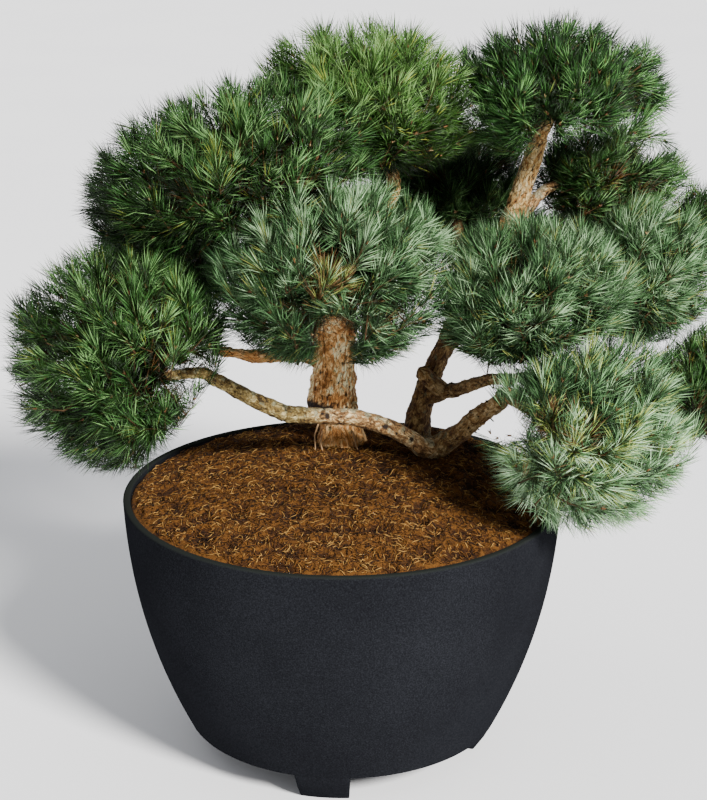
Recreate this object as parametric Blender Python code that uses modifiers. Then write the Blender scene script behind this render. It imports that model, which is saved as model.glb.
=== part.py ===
# Potted repens scots pine: a clump of two trunks and one low stem, its boughs clipped into
# dense pads of needles, standing on heaped coir in a wide bowl-shaped pot on four feet.
# Metres, +Z up, the camera side is -Y. The pot's axis is the Z axis until the last step,
# which moves the whole plant so that the origin is the middle of its footprint on the floor.

import math
import random

import bmesh
import bpy
from mathutils import Matrix, Vector, noise

# Clearance between solids that touch in the real thing
GAP = 0.0003
ROOT_CLEARANCE = 0.0006

# Points as near to each other as this are one point, and thinner slivers than this go
WELD = 0.00001
SLIVER_WELD = 0.000002
SLIVER_EDGE = 0.000001

# Pot: a turned bowl of moulded plastic
RIM_RADIUS = 0.641
POT_HEIGHT = 0.788
LIP_RADIUS = 0.467
LIP_HEIGHT = 0.096
WALL = 0.022
FLOOR = 0.030
RIM_ROUNDING = 0.004
SIDE_POWER = 2.18
SIDE_ROUNDNESS = 0.817
SIDE_LEVELS = 8
WALL_LEVELS = 4
POT_STEPS = 44

# Feet: four blocks that carry the bowl's outer surface on down to the floor, each a quarter turn on
FEET = ("foot_front", "foot_right", "foot_back", "foot_left")
FOOT_SPAN = math.radians(20)
FOOT_RADIUS = 0.410
FOOT_DEPTH = 0.075
FOOT_SETBACK = 0.0005
FOOT_BULGE = 0.004
FOOT_STEPS = 3
FRONT_FOOT_TURN = math.radians(-97)

# Soil: coir heaped round the trunks, level where they stand
GROUND = 0.840
SOIL_EDGE = 0.772
MOUND_CENTRE = Vector((0.12, 0.24))
MOUND_SWELL = 1.35
SOIL_RINGS = 6

# Limbs
LINE_STEPS = 2
BARK_LUMPS = 0.05
LUMP_SIZE = 0.06
FLARE_HEIGHT = 0.09
FLARE = 0.30
ROOT_RIDGES = 5
BALL_STEPS = 6

# Foliage
CORE_SHARE = 0.70
CORE_FACE = 0.120
CORE_LUMPS = 0.12
CORE_LUMP_SIZE = 0.14
CORE_LEAST = 0.2
CORE_STEP = 0.03
TUFT_HEIGHT = 0.060
TUFT_VARIES = (0.5, 1.4)
BRUSH_LENGTH = 0.125
BRUSH_VARIES = (0.8, 1.2)
BRUSH_WAIST = 0.45
WAIST_HEIGHT = 0.4
NEEDLE_OUT = (0.30, 0.50)
NEEDLE_UP = (0.45, 0.65)
BRUSH_TRIES = 4
BRUSH_SHORTER = 0.8
LIMB_CLEARANCE = 0.007
CORE_CLEARANCE = 0.002
CUT_REACH = 1.1
NEIGHBOUR_MARGIN = 0.04
TWIGS_PER_AREA = 5.5
TWIG_RADIUS = 0.007
TWIG_SIDES = 4
TWIG_REACHES = (0.92, 0.84, 0.76)
TEETH = 5
TOOTH_LEAN = (0.35, 1.0)
TOOTH_LENGTH = (0.88, 1.0)
NOTCH_LEAN = 0.25
NOTCH_LENGTH = 0.55
SPRAY_LENGTH = 0.130
SPRAY_SPREAD = math.radians(36)
SPRAY_PEAK = 0.56
SPRAY_INWARD = 0.7
STEM_STRAIGHT = 0.020
STEM_SIDES = 6
STEM_TAPER = (0.96, 0.94, 0.60)
SOIL_CLEARANCE = 0.012

# Each stem or bough: what it grows from (None for the ground), its sides, and the points that
# its middle line runs through as x, y, z and radius. A bough starts on its parent's middle line.
LIMBS = {
    "trunk_left": (None, 10, [
        (-0.004, 0.275, 0.810, 0.068), (-0.012, 0.275, 0.925, 0.062), (-0.029, 0.270, 0.962, 0.075),
        (-0.029, 0.265, 1.010, 0.071), (-0.023, 0.255, 1.143, 0.063), (-0.013, 0.255, 1.301, 0.054),
        (0.014, 0.260, 1.421, 0.043), (0.070, 0.260, 1.515, 0.033), (0.130, 0.250, 1.590, 0.026),
        (0.150, 0.238, 1.660, 0.021), (0.128, 0.222, 1.745, 0.018)]),
    "trunk_right": (None, 8, [
        (0.218, 0.300, 0.810, 0.046), (0.236, 0.300, 0.935, 0.038), (0.265, 0.290, 1.035, 0.036),
        (0.309, 0.280, 1.149, 0.037), (0.381, 0.270, 1.293, 0.034), (0.452, 0.270, 1.431, 0.032),
        (0.502, 0.260, 1.555, 0.031), (0.547, 0.260, 1.700, 0.029), (0.572, 0.258, 1.785, 0.026)]),
    "front_stem": (None, 8, [
        (0.262, 0.175, 0.810, 0.040), (0.290, 0.150, 0.870, 0.034), (0.345, 0.080, 0.940, 0.030),
        (0.405, 0.000, 1.025, 0.028), (0.452, -0.070, 1.085, 0.025)]),
    "long_bough_rise": ("front_stem", 8, [
        (0.274, 0.160, 0.864, 0.026), (0.238, 0.108, 0.880, 0.026), (0.199, 0.098, 0.917, 0.026),
        (0.111, 0.080, 0.966, 0.026), (0.023, 0.055, 0.996, 0.025), (-0.094, 0.030, 1.010, 0.025),
        (-0.166, 0.010, 1.024, 0.025)]),
    "long_bough_reach": ("long_bough_rise", 8, [
        (-0.166, 0.010, 1.024, 0.025), (-0.265, -0.020, 1.081, 0.023), (-0.330, -0.050, 1.130, 0.021),
        (-0.372, -0.070, 1.158, 0.019)]),
    "left_bough": ("trunk_left", 8, [
        (-0.026, 0.262, 1.090, 0.024), (-0.090, 0.245, 1.122, 0.021), (-0.156, 0.190, 1.146, 0.020),
        (-0.235, 0.100, 1.168, 0.021), (-0.300, 0.040, 1.196, 0.016), (-0.372, 0.020, 1.215, 0.015)]),
    "right_bough": ("trunk_right", 8, [
        (0.262, 0.288, 0.990, 0.025), (0.306, 0.250, 1.012, 0.023), (0.343, 0.200, 1.033, 0.021),
        (0.394, 0.100, 1.087, 0.019), (0.440, 0.010, 1.128, 0.017), (0.482, -0.070, 1.150, 0.015)]),
    "upper_left_bough": ("trunk_left", 6, [
        (-0.004, 0.257, 1.370, 0.030), (-0.090, 0.205, 1.450, 0.026), (-0.170, 0.150, 1.530, 0.023),
        (-0.222, 0.110, 1.590, 0.021)]),
    "centre_bough": ("trunk_left", 6, [
        (-0.018, 0.255, 1.215, 0.030), (-0.028, 0.160, 1.265, 0.026), (-0.032, 0.075, 1.318, 0.022)]),
    "back_left_bough": ("trunk_left", 6, [
        (-0.021, 0.255, 1.170, 0.026), (-0.150, 0.320, 1.215, 0.022), (-0.300, 0.370, 1.270, 0.019),
        (-0.385, 0.395, 1.310, 0.017)]),
    "back_centre_bough": ("trunk_left", 6, [
        (-0.014, 0.255, 1.290, 0.026), (-0.030, 0.380, 1.300, 0.023), (-0.050, 0.500, 1.325, 0.020)]),
    "centre_right_bough": ("trunk_right", 6, [
        (0.320, 0.279, 1.172, 0.026), (0.375, 0.200, 1.232, 0.023), (0.430, 0.110, 1.292, 0.021),
        (0.455, 0.070, 1.318, 0.020)]),
    "shade_bough": ("trunk_right", 6, [
        (0.405, 0.270, 1.340, 0.023), (0.355, 0.360, 1.420, 0.020), (0.350, 0.450, 1.480, 0.017)]),
    "back_right_bough": ("trunk_right", 6, [
        (0.466, 0.267, 1.465, 0.022), (0.545, 0.305, 1.560, 0.019), (0.600, 0.360, 1.605, 0.016),
        (0.640, 0.395, 1.615, 0.015)]),
    "right_reach_bough": ("trunk_right", 6, [
        (0.420, 0.270, 1.366, 0.024), (0.560, 0.265, 1.350, 0.021), (0.680, 0.235, 1.360, 0.018),
        (0.752, 0.210, 1.375, 0.016)]),
    "far_high_bough": ("right_reach_bough", 6, [
        (0.580, 0.260, 1.352, 0.017), (0.720, 0.395, 1.395, 0.016), (0.880, 0.430, 1.450, 0.014),
        (0.990, 0.405, 1.480, 0.013)]),
    "far_low_bough": ("trunk_right", 6, [
        (0.256, 0.294, 1.002, 0.020), (0.345, 0.330, 0.996, 0.017), (0.445, 0.340, 1.020, 0.016),
        (0.600, 0.290, 1.040, 0.017), (0.760, 0.190, 1.055, 0.016), (0.935, 0.105, 1.080, 0.015)]),
    "rear_right_bough": ("trunk_right", 6, [
        (0.352, 0.274, 1.235, 0.024), (0.410, 0.400, 1.255, 0.021), (0.490, 0.500, 1.290, 0.018)]),
}

# The sawn stub on the right trunk, its end rounded over
STUB_TRUNK = "trunk_right"
STUB_SIDES = 8
STUB = [
    (0.264, 0.287, 0.985, 0.026), (0.300, 0.254, 1.012, 0.025), (0.275, 0.233, 1.055, 0.0225),
    (0.248, 0.215, 1.098, 0.021)]
STUB_ROUNDING = 0.010

# Each pad of foliage: the limb that feeds it, the middle of its space, the space's half sizes,
# how far its right end is tipped up, and its needles' material
PADS = {
    "pad_low_left": (
        "long_bough_reach", (-0.618, -0.150, 1.250), (0.338, 0.315, 0.330), 0, "needles_deep"),
    "pad_upper_left": (
        "upper_left_bough", (-0.312, 0.030, 1.758), (0.452, 0.310, 0.245), 16, "needles_deep"),
    "pad_top_middle": (
        "trunk_left", (0.085, 0.215, 1.922), (0.352, 0.300, 0.222), -4, "needles_bright"),
    "pad_top_right": (
        "trunk_right", (0.618, 0.250, 1.930), (0.338, 0.310, 0.215), 0, "needles_deep"),
    "pad_centre": (
        "centre_bough", (-0.025, -0.135, 1.498), (0.360, 0.305, 0.278), 0, "needles_blue"),
    "pad_centre_right": (
        "centre_right_bough", (0.532, -0.100, 1.432), (0.312, 0.280, 0.230), 0, "needles_blue"),
    "pad_low_right": (
        "front_stem", (0.680, -0.290, 1.088), (0.306, 0.285, 0.290), 0, "needles_blue"),
    "pad_back_right": (
        "back_right_bough", (0.825, 0.475, 1.625), (0.250, 0.235, 0.185), -8, "needles_deep"),
    "pad_right": (
        "right_reach_bough", (0.910, 0.170, 1.412), (0.205, 0.235, 0.232), 0, "needles_blue"),
    "pad_far_right_high": (
        "far_high_bough", (1.120, 0.420, 1.500), (0.185, 0.190, 0.140), 0, "needles_deep"),
    "pad_far_right_low": (
        "far_low_bough", (1.085, 0.060, 1.120), (0.190, 0.195, 0.188), 0, "needles_deep"),
    "pad_shade": (
        "shade_bough", (0.345, 0.625, 1.575), (0.285, 0.235, 0.215), 0, "needles_deep"),
    "pad_back_left": (
        "back_left_bough", (-0.560, 0.440, 1.395), (0.250, 0.230, 0.172), 5, "needles_deep"),
    "pad_back_centre": (
        "back_centre_bough", (-0.070, 0.690, 1.400), (0.290, 0.240, 0.185), 0, "needles_deep"),
    "pad_rear_right": (
        "rear_right_bough", (0.600, 0.680, 1.330), (0.260, 0.230, 0.170), 0, "needles_blue"),
}
HUB_DROP = 0.30
SEED = 71
PAD_TRIES = 8
NEAR_MEETING = 0.000004
KEY_DIGITS = 4

# Base colour, sRGB, and roughness of each material
FINISHES = {
    "pot_plastic": ("24272e", 0.55),
    "coir": ("6f421b", 0.95),
    "bark_orange": ("a8743f", 0.85),
    "bark_dark": ("5f4632", 0.90),
    "bark_pale": ("c79a5e", 0.85),
    "needles_deep": ("2c4a2b", 0.60),
    "needles_bright": ("4c7034", 0.60),
    "needles_blue": ("56765c", 0.60),
}
BARK_OF = {
    "trunk_left": "bark_orange", "trunk_right": "bark_dark", "front_stem": "bark_dark",
    "right_bough": "bark_dark", "far_low_bough": "bark_dark", "shade_bough": "bark_dark",
    "centre_right_bough": "bark_dark",
}


def clear_scene():
    for old in list(bpy.data.objects):
        bpy.data.objects.remove(old, do_unlink=True)


def new_collection(name):
    group = bpy.data.collections.new(name)
    bpy.context.scene.collection.children.link(group)
    return group


def linear(hex_colour):
    """Linear red, green, blue and alpha of an sRGB hex colour."""
    channels = (int(hex_colour[i:i + 2], 16) / 255 for i in (0, 2, 4))
    return [c / 12.92 if c <= 0.04045 else ((c + 0.055) / 1.055) ** 2.4 for c in channels] + [1.0]


def new_material(name):
    colour, roughness = FINISHES[name]
    material = bpy.data.materials.new(name)
    material.use_nodes = True
    shader = material.node_tree.nodes["Principled BSDF"]
    shader.inputs["Base Color"].default_value = linear(colour)
    shader.inputs["Roughness"].default_value = roughness
    shader.inputs["Metallic"].default_value = 0.0
    return material


def new_object(name, mesh, group, material=None):
    thing = bpy.data.objects.new(name, mesh)
    group.objects.link(thing)
    if material:
        mesh.materials.clear()
        mesh.materials.append(material)
    return thing


def place_key(place):
    return tuple(round(c, KEY_DIGITS) for c in place)


def put_in_order(bm):
    """Sorts corners and faces by their places, so that each run draws and joins them alike."""
    for rank, vertex in enumerate(sorted(bm.verts, key=lambda v: place_key(v.co))):
        vertex.index = rank
    for rank, face in enumerate(sorted(bm.faces, key=lambda f: place_key(f.calc_center_median()))):
        face.index = rank
    bm.verts.sort()
    bm.faces.sort()


def object_from_bmesh(name, bm, group, material=None):
    bmesh.ops.triangulate(bm, faces=bm.faces)
    put_in_order(bm)
    mesh = bpy.data.meshes.new(name)
    bm.to_mesh(mesh)
    bm.free()
    return new_object(name, mesh, group, material)


def apply_modifiers(thing):
    bpy.context.view_layer.update()
    evaluated = thing.evaluated_get(bpy.context.evaluated_depsgraph_get())
    finished = bpy.data.meshes.new_from_object(evaluated)
    thing.modifiers.clear()
    thing.data = finished


def empty_collection(group):
    """Removes a collection's objects and then the collection."""
    for member in list(group.objects):
        bpy.data.objects.remove(member, do_unlink=True)
    bpy.data.collections.remove(group)


def combine(thing, operation, group, folded=False):
    """Joins or cuts a solid with every solid of a collection, which is then removed. A folded
    solid may cross itself, as the needles of a pad do."""
    modifier = thing.modifiers.new(operation.lower(), "BOOLEAN")
    modifier.operation = operation
    modifier.operand_type = "COLLECTION"
    modifier.collection = group
    modifier.solver = "EXACT"
    modifier.use_self = folded
    apply_modifiers(thing)
    empty_collection(group)
    keep_outer_shell(thing.data)


def keep_outer_shell(mesh):
    """Keeps the one shell with the most volume, which fills sealed hollows and drops scraps."""
    bm = bmesh.new()
    bm.from_mesh(mesh)
    bmesh.ops.remove_doubles(bm, verts=bm.verts, dist=SLIVER_WELD)
    bmesh.ops.dissolve_degenerate(bm, edges=bm.edges, dist=SLIVER_EDGE)
    bmesh.ops.triangulate(bm, faces=bm.faces)
    unseen = set(bm.faces)
    shells = []
    while unseen:
        shell = [unseen.pop()]
        for face in shell:
            for edge in face.edges:
                for other in edge.link_faces:
                    if other in unseen:
                        unseen.remove(other)
                        shell.append(other)
        shells.append(shell)
    shells.sort(key=shell_volume, reverse=True)
    spare = [face for shell in shells[1:] for face in shell]
    bmesh.ops.delete(bm, geom=spare, context="FACES")
    put_in_order(bm)
    bm.to_mesh(mesh)
    bm.free()


def shell_volume(faces):
    total = 0.0
    for face in faces:
        first, second, third = (corner.co for corner in face.verts)
        total += first.dot(second.cross(third)) / 6
    return total


def turned(name, profile, group, material):
    """A closed turned solid. The profile starts and ends on the axis, outer side downwards."""
    mesh = bpy.data.meshes.new(name)
    points = [(radius, 0.0, height) for radius, height in profile]
    mesh.from_pydata(points, [(i, i + 1) for i in range(len(points) - 1)], [])
    thing = new_object(name, mesh, group)
    screw = thing.modifiers.new("turn", "SCREW")
    screw.axis = "Z"
    screw.angle = 2 * math.pi
    screw.steps = POT_STEPS
    screw.render_steps = POT_STEPS
    screw.use_merge_vertices = True
    screw.merge_threshold = WELD
    apply_modifiers(thing)
    bm = bmesh.new()
    bm.from_mesh(thing.data)
    bmesh.ops.remove_doubles(bm, verts=bm.verts, dist=WELD)
    bm.to_mesh(thing.data)
    bm.free()
    thing.data.materials.append(material)
    return thing


def side_radius(height):
    """The bowl's outer radius: full and upright near the rim, drawn in towards the lip."""
    rise = (height - LIP_HEIGHT) / (POT_HEIGHT - LIP_HEIGHT)
    curve = SIDE_ROUNDNESS * (1 - (1 - rise) ** SIDE_POWER) + (1 - SIDE_ROUNDNESS) * rise
    return LIP_RADIUS + (RIM_RADIUS - LIP_RADIUS) * curve


def wall_heights():
    bottom = LIP_HEIGHT + FLOOR
    return [bottom + (POT_HEIGHT - RIM_ROUNDING - bottom) * i / WALL_LEVELS for i in range(WALL_LEVELS + 1)]


def wall_radius(height):
    """The inner wall's radius, along the straight runs between the wall's levels."""
    heights = wall_heights()
    for low, high in zip(heights, heights[1:]):
        if height <= high:
            share = (height - low) / (high - low)
            return (1 - share) * side_radius(low) + share * side_radius(high) - WALL
    return side_radius(heights[-1]) - WALL


def make_pot(group, material):
    inner = [(wall_radius(height), height) for height in wall_heights()]
    top = POT_HEIGHT
    rim = [
        (side_radius(top) - WALL + RIM_ROUNDING, top),
        (side_radius(top) - RIM_ROUNDING, top),
    ]
    drop = top - RIM_ROUNDING - LIP_HEIGHT
    heights = [top - RIM_ROUNDING - drop * i / SIDE_LEVELS for i in range(SIDE_LEVELS + 1)]
    outer = [(side_radius(height), height) for height in heights]
    profile = [(0, LIP_HEIGHT + FLOOR), *inner, *rim, *outer, (0, LIP_HEIGHT)]
    turned("pot", profile, group, material)
    for number, name in enumerate(FEET):
        make_foot(name, FRONT_FOOT_TURN + 2 * math.pi * number / len(FEET), group, material)


def make_foot(name, azimuth, group, material):
    """One foot, spun through its width from a section that ends right under the bowl's floor."""
    top = LIP_HEIGHT - GAP
    outer = LIP_RADIUS - FOOT_SETBACK
    section = [
        (outer, top),
        (outer - FOOT_DEPTH, top),
        (FOOT_RADIUS - FOOT_DEPTH, 0.0),
        (FOOT_RADIUS, 0.0),
        (0.5 * (outer + FOOT_RADIUS) + FOOT_BULGE, 0.5 * LIP_HEIGHT),
    ]
    bm = bmesh.new()
    turn = Matrix.Rotation(azimuth - FOOT_SPAN / 2, 3, "Z")
    corners = [bm.verts.new(turn @ Vector((radius, 0, height))) for radius, height in section]
    face = bm.faces.new(corners)
    bmesh.ops.spin(
        bm, geom=[face, *face.edges, *face.verts], cent=(0, 0, 0), axis=(0, 0, 1),
        angle=FOOT_SPAN, steps=FOOT_STEPS)
    bmesh.ops.recalc_face_normals(bm, faces=bm.faces)
    return object_from_bmesh(name, bm, group, material)


def soil_height(place):
    """Height of the heaped soil: level round the trunks, falling away to the pot's wall."""
    ray = Vector((place[0], place[1])) - MOUND_CENTRE
    reach = wall_radius(SOIL_EDGE)
    if ray.length < 0.001:
        return GROUND
    along = MOUND_CENTRE.dot(ray.normalized())
    to_wall = -along + math.sqrt(along ** 2 + reach ** 2 - MOUND_CENTRE.length_squared)
    share = min(ray.length / to_wall, 1.0)
    swell = min(MOUND_SWELL * (1 - share ** 2), 1.0)
    return SOIL_EDGE + (GROUND - SOIL_EDGE) * swell


def make_soil(group, material):
    edge = wall_radius(SOIL_EDGE) - GAP
    surface = [(edge * i / SOIL_RINGS, SOIL_EDGE) for i in range(SOIL_RINGS + 1)]
    bottom = LIP_HEIGHT + FLOOR + GAP
    heights = [height for height in reversed(wall_heights()) if bottom < height < SOIL_EDGE]
    side = [(wall_radius(height) - GAP, height) for height in [*heights, bottom]]
    soil = turned("soil", [*surface, *side, (0, bottom)], group, material)
    for vertex in soil.data.vertices:
        if abs(vertex.co.z - SOIL_EDGE) < 0.0001 and vertex.co.xy.length < edge - 0.001:
            vertex.co.z = soil_height(vertex.co)
    return soil


def smooth_line(points, steps):
    """A smooth line through points that hold x, y, z and radius."""
    knots = [Vector(point) for point in points]
    knots = [2 * knots[0] - knots[1], *knots, 2 * knots[-1] - knots[-2]]
    line = []
    for before, start, end, after in zip(knots, knots[1:], knots[2:], knots[3:]):
        for step in range(steps):
            t = step / steps
            bend = 2 * before - 5 * start + 4 * end - after
            twist = 3 * start - before - 3 * end + after
            line.append(0.5 * (2 * start + (end - before) * t + bend * t ** 2 + twist * t ** 3))
    line.append(knots[-2])
    return line


def tube(name, line, sides, group, grow=0.0):
    """A closed tube with flat ends along a line of x, y, z and radius. With grow, it is that much
    thicker all round and longer at both ends."""
    first, last = line[0].xyz, line[-1].xyz
    before = first + (first - line[1].xyz).normalized() * grow
    beyond = last + (last - line[-2].xyz).normalized() * grow
    line = [Vector((*before, line[0].w)), *line[1:-1], Vector((*beyond, line[-1].w))]
    curve = bpy.data.curves.new(name, "CURVE")
    curve.dimensions = "3D"
    curve.bevel_depth = 1.0
    curve.bevel_resolution = (sides - 4) // 2
    curve.use_fill_caps = True
    spline = curve.splines.new("POLY")
    spline.points.add(len(line) - 1)
    for point, knot in zip(spline.points, line):
        point.co = (*knot.xyz, 1.0)
        point.radius = knot.w + grow
    holder = bpy.data.objects.new(name, curve)
    group.objects.link(holder)
    bpy.context.view_layer.update()
    mesh = bpy.data.meshes.new_from_object(holder.evaluated_get(bpy.context.evaluated_depsgraph_get()))
    place = holder.matrix_world.copy()
    bpy.data.objects.remove(holder, do_unlink=True)
    bm = bmesh.new()
    bm.from_mesh(mesh)
    bmesh.ops.remove_doubles(bm, verts=bm.verts, dist=WELD)
    bmesh.ops.recalc_face_normals(bm, faces=bm.faces)
    thing = object_from_bmesh(name, bm, group)
    thing.matrix_world = place
    return thing


def roughen(mesh, line, from_ground):
    """Gives a limb uneven girth, and a trunk its spreading root ridges at the ground."""
    for vertex in mesh.vertices:
        knot = min(line, key=lambda k: (k.xyz - vertex.co).length_squared)
        arm = vertex.co - knot.xyz
        scale = 1 + BARK_LUMPS * noise.noise(vertex.co / LUMP_SIZE)
        above = (vertex.co.z - GROUND) / FLARE_HEIGHT
        if from_ground and above < 1:
            ridge = 0.7 + 0.3 * math.cos(ROOT_RIDGES * math.atan2(arm.y, arm.x))
            scale += FLARE * ridge * (1 - max(above, 0)) ** 2
        vertex.co = knot.xyz + arm * scale


def cut_at_ground(mesh):
    bm = bmesh.new()
    bm.from_mesh(mesh)
    bmesh.ops.bisect_plane(
        bm, geom=[*bm.verts, *bm.edges, *bm.faces], plane_co=(0, 0, GROUND + GAP),
        plane_no=(0, 0, 1), clear_inner=True)
    bmesh.ops.holes_fill(bm, edges=[edge for edge in bm.edges if edge.is_boundary])
    bmesh.ops.recalc_face_normals(bm, faces=bm.faces)
    bm.to_mesh(mesh)
    bm.free()


def make_limb(name, group, grow=0.0):
    """One tapering limb. With grow, a slightly thicker copy, to cut its own boughs free of it."""
    parent, sides, points = LIMBS[name]
    line = smooth_line(points, LINE_STEPS)
    limb = tube(name, line, sides, group, grow)
    roughen(limb.data, line, parent is None)
    if parent is None and not grow:
        cut_at_ground(limb.data)
    return limb


def add_stub(trunk):
    """The sawn stub, joined to the right trunk, with its end rounded over."""
    parts = new_collection("stub_parts")
    stub = tube("stub", smooth_line(STUB, LINE_STEPS), STUB_SIDES, parts)
    end = Vector(STUB[-1])
    bm = bmesh.new()
    bm.from_mesh(stub.data)
    rim = [e for e in bm.edges if all((v.co - end.xyz).length < end.w * 1.1 for v in e.verts)]
    bmesh.ops.bevel(
        bm, geom=rim, offset=STUB_ROUNDING, segments=1, profile=0.5, affect="EDGES", material=-1)
    bm.to_mesh(stub.data)
    bm.free()
    combine(trunk, "UNION", parts)


def free_from_parent(limb, parent):
    """Cuts a bough's hidden root away, a hair clear of the limb it grows from."""
    cutters = new_collection("cutters")
    cutters.hide_render = True
    make_limb(parent, cutters, grow=ROOT_CLEARANCE)
    if parent == STUB_TRUNK:
        tube("stub", smooth_line(STUB, LINE_STEPS), STUB_SIDES, cutters, grow=ROOT_CLEARANCE)
    for cutter in cutters.objects:
        cutter.hide_render = True
        cutter.display_type = "WIRE"
    combine(limb, "DIFFERENCE", cutters)


def clear_core_of_limbs(core, own, balls):
    """Cuts the limbs that come near a pad's core out of it, with a little room all round."""
    crossing = {name for name, centre, _ in balls if own.reach(centre) < CUT_REACH}
    if not crossing:
        return
    cutters = new_collection("cutters")
    cutters.hide_render = True
    for name in LIMBS:
        if name in crossing:
            cutter = make_limb(name, cutters, grow=CORE_CLEARANCE)
            cutter.hide_render = True
            cutter.display_type = "WIRE"
    combine(core, "DIFFERENCE", cutters, folded=True)


def limb_end(name):
    """Where a limb ends, which way it points there, and how thick it is."""
    before, last = smooth_line(LIMBS[name][2], LINE_STEPS)[-2:]
    return last.xyz, (last.xyz - before.xyz).normalized(), last.w


class Space:
    """The egg-shaped space that one pad keeps to."""

    def __init__(self, name):
        self.name = name
        self.feed, centre, self.half, tip_up, self.needles = PADS[name]
        self.centre = Vector(centre)
        self.turn = Matrix.Rotation(-math.radians(tip_up), 3, "Y")
        self.back = self.turn.transposed()
        self.hub = self.out_to(Vector((0, 0, -1)), HUB_DROP)

    def out_to(self, direction, share):
        """The point that lies this share of the way to the space's edge."""
        stretched = Vector(d * h for d, h in zip(direction, self.half))
        return self.centre + self.turn @ (stretched * share)

    def reach(self, place):
        """How far out a point is: 0 in the middle, 1 at the space's edge."""
        inside = self.back @ (place - self.centre)
        return math.sqrt(sum((c / h) ** 2 for c, h in zip(inside, self.half)))

    def area(self):
        a, b, c = self.half
        power = 1.6
        mean = ((a * b) ** power + (a * c) ** power + (b * c) ** power) / 3
        return 4 * math.pi * mean ** (1 / power)


def limb_knots():
    """Every limb as a row of balls, to test how near a point is to any of them."""
    balls = []
    for name, (_, _, points) in LIMBS.items():
        line = smooth_line(points, BALL_STEPS)
        balls += [(name, knot.xyz, knot.w) for knot in line]
    return balls


def is_free(place, own, spaces, balls):
    """True where a pad's point keeps to its own space and off the limbs, the soil and the pot."""
    mine = own.reach(place)
    for other in spaces:
        if other is not own and other.reach(place) < mine + NEIGHBOUR_MARGIN:
            return False
    for _, centre, radius in balls:
        if (place - centre).length_squared < (radius + LIMB_CLEARANCE) ** 2:
            return False
    over_pot = place.xy.length < RIM_RADIUS + SOIL_CLEARANCE
    return not over_pot or place.z > max(POT_HEIGHT, soil_height(place)) + SOIL_CLEARANCE


def make_core(own, spaces, balls, rng, group):
    """The pad's dense middle: a lumpy ball, kept clear of limbs and other pads, whose faces are
    drawn out into brushes of needles and, between them, low tufts."""
    bm = bmesh.new()
    girth = 2 * math.pi * CORE_SHARE * (own.half[0] + own.half[1]) / 2
    segments = 2 * round(girth / CORE_FACE / 2)
    bmesh.ops.create_uvsphere(bm, u_segments=segments, v_segments=segments // 2 + 1, radius=1.0)
    put_in_order(bm)
    faces = list(bm.faces)
    for vertex in bm.verts:
        direction = vertex.co.copy()
        share = CORE_SHARE * (1 + CORE_LUMPS * noise.noise(own.out_to(direction, 1) / CORE_LUMP_SIZE))
        while share > CORE_LEAST and not is_free(own.out_to(direction, share), own, spaces, balls):
            share -= CORE_STEP
        vertex.co = own.out_to(direction, share)
    rng.shuffle(faces)
    brushed = set()
    for face in faces:
        neighbours = {other for edge in face.edges for other in edge.link_faces}
        if not neighbours & brushed and len(face.verts) == 4:
            brushed.add(face)
    for face in faces:
        if face in brushed:
            draw_out_brush(bm, face, own, spaces, balls, rng)
        else:
            draw_out_tuft(bm, face, own, spaces, balls, rng)
    return object_from_bmesh("core", bm, group)


def draw_out_tuft(bm, face, own, spaces, balls, rng):
    """Raises the middle of a core face into a low tuft, if there is room."""
    centre = face.calc_center_median()
    peak = centre + (centre - own.hub).normalized() * TUFT_HEIGHT * rng.uniform(*TUFT_VARIES)
    if own.reach(peak) < 1 and is_free(peak, own, spaces, balls):
        bmesh.ops.poke(bm, faces=[face])["verts"][0].co = peak


def draw_out_brush(bm, face, own, spaces, balls, rng):
    """Draws a core face out into a slim stalk, with a needle at its end and one on each side."""
    corners = list(face.verts)
    first = min(range(len(corners)), key=lambda i: place_key(corners[i].co))
    corners = corners[first:] + corners[:first]
    centre = face.calc_center_median()
    axis = (centre - own.hub).normalized()
    length = BRUSH_LENGTH * rng.uniform(*BRUSH_VARIES)
    for _ in range(BRUSH_TRIES):
        rise = axis * length * WAIST_HEIGHT
        waist = {v: centre + (v.co - centre) * BRUSH_WAIST + rise for v in corners}
        peak = centre + axis * length
        needles = []
        for corner, following in zip(corners, [*corners[1:], corners[0]]):
            middle = (corner.co + following.co + waist[corner] + waist[following]) / 4
            outward = (middle - centre) - axis * axis.dot(middle - centre)
            lean = outward.normalized() * rng.uniform(*NEEDLE_OUT) + axis * rng.uniform(*NEEDLE_UP)
            needles.append(middle + lean * length)
        tips = [peak, *needles, *waist.values()]
        if all(own.reach(t) < 1 and is_free(t, own, spaces, balls) for t in tips):
            break
        length *= BRUSH_SHORTER
    else:
        draw_out_tuft(bm, face, own, spaces, balls, rng)
        return
    places = [waist[v] for v in corners]
    top = bmesh.ops.extrude_discrete_faces(bm, faces=[face])["faces"][0]
    for vertex in top.verts:
        near = min(range(len(corners)), key=lambda i: (corners[i].co - vertex.co).length_squared)
        vertex.co = places[near]
    for needle in needles:
        sides = {f for edge in top.edges for f in edge.link_faces if f is not top and len(f.verts) == 4}
        side = min(sides, key=lambda f: (f.calc_center_median() - needle).length_squared)
        bmesh.ops.poke(bm, faces=[side])["verts"][0].co = needle
    bmesh.ops.poke(bm, faces=[top])["verts"][0].co = peak


def spiral_directions(count, rng):
    """Directions spread evenly over a ball, each shifted a little."""
    golden = math.pi * (3 - math.sqrt(5))
    for i in range(count):
        height = 1 - 2 * (i + 0.5) / count + rng.uniform(-0.5, 0.5) / count
        ring = math.sqrt(max(1 - height * height, 0))
        turn = golden * i + rng.uniform(-0.25, 0.25)
        yield Vector((ring * math.cos(turn), ring * math.sin(turn), height))


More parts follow.
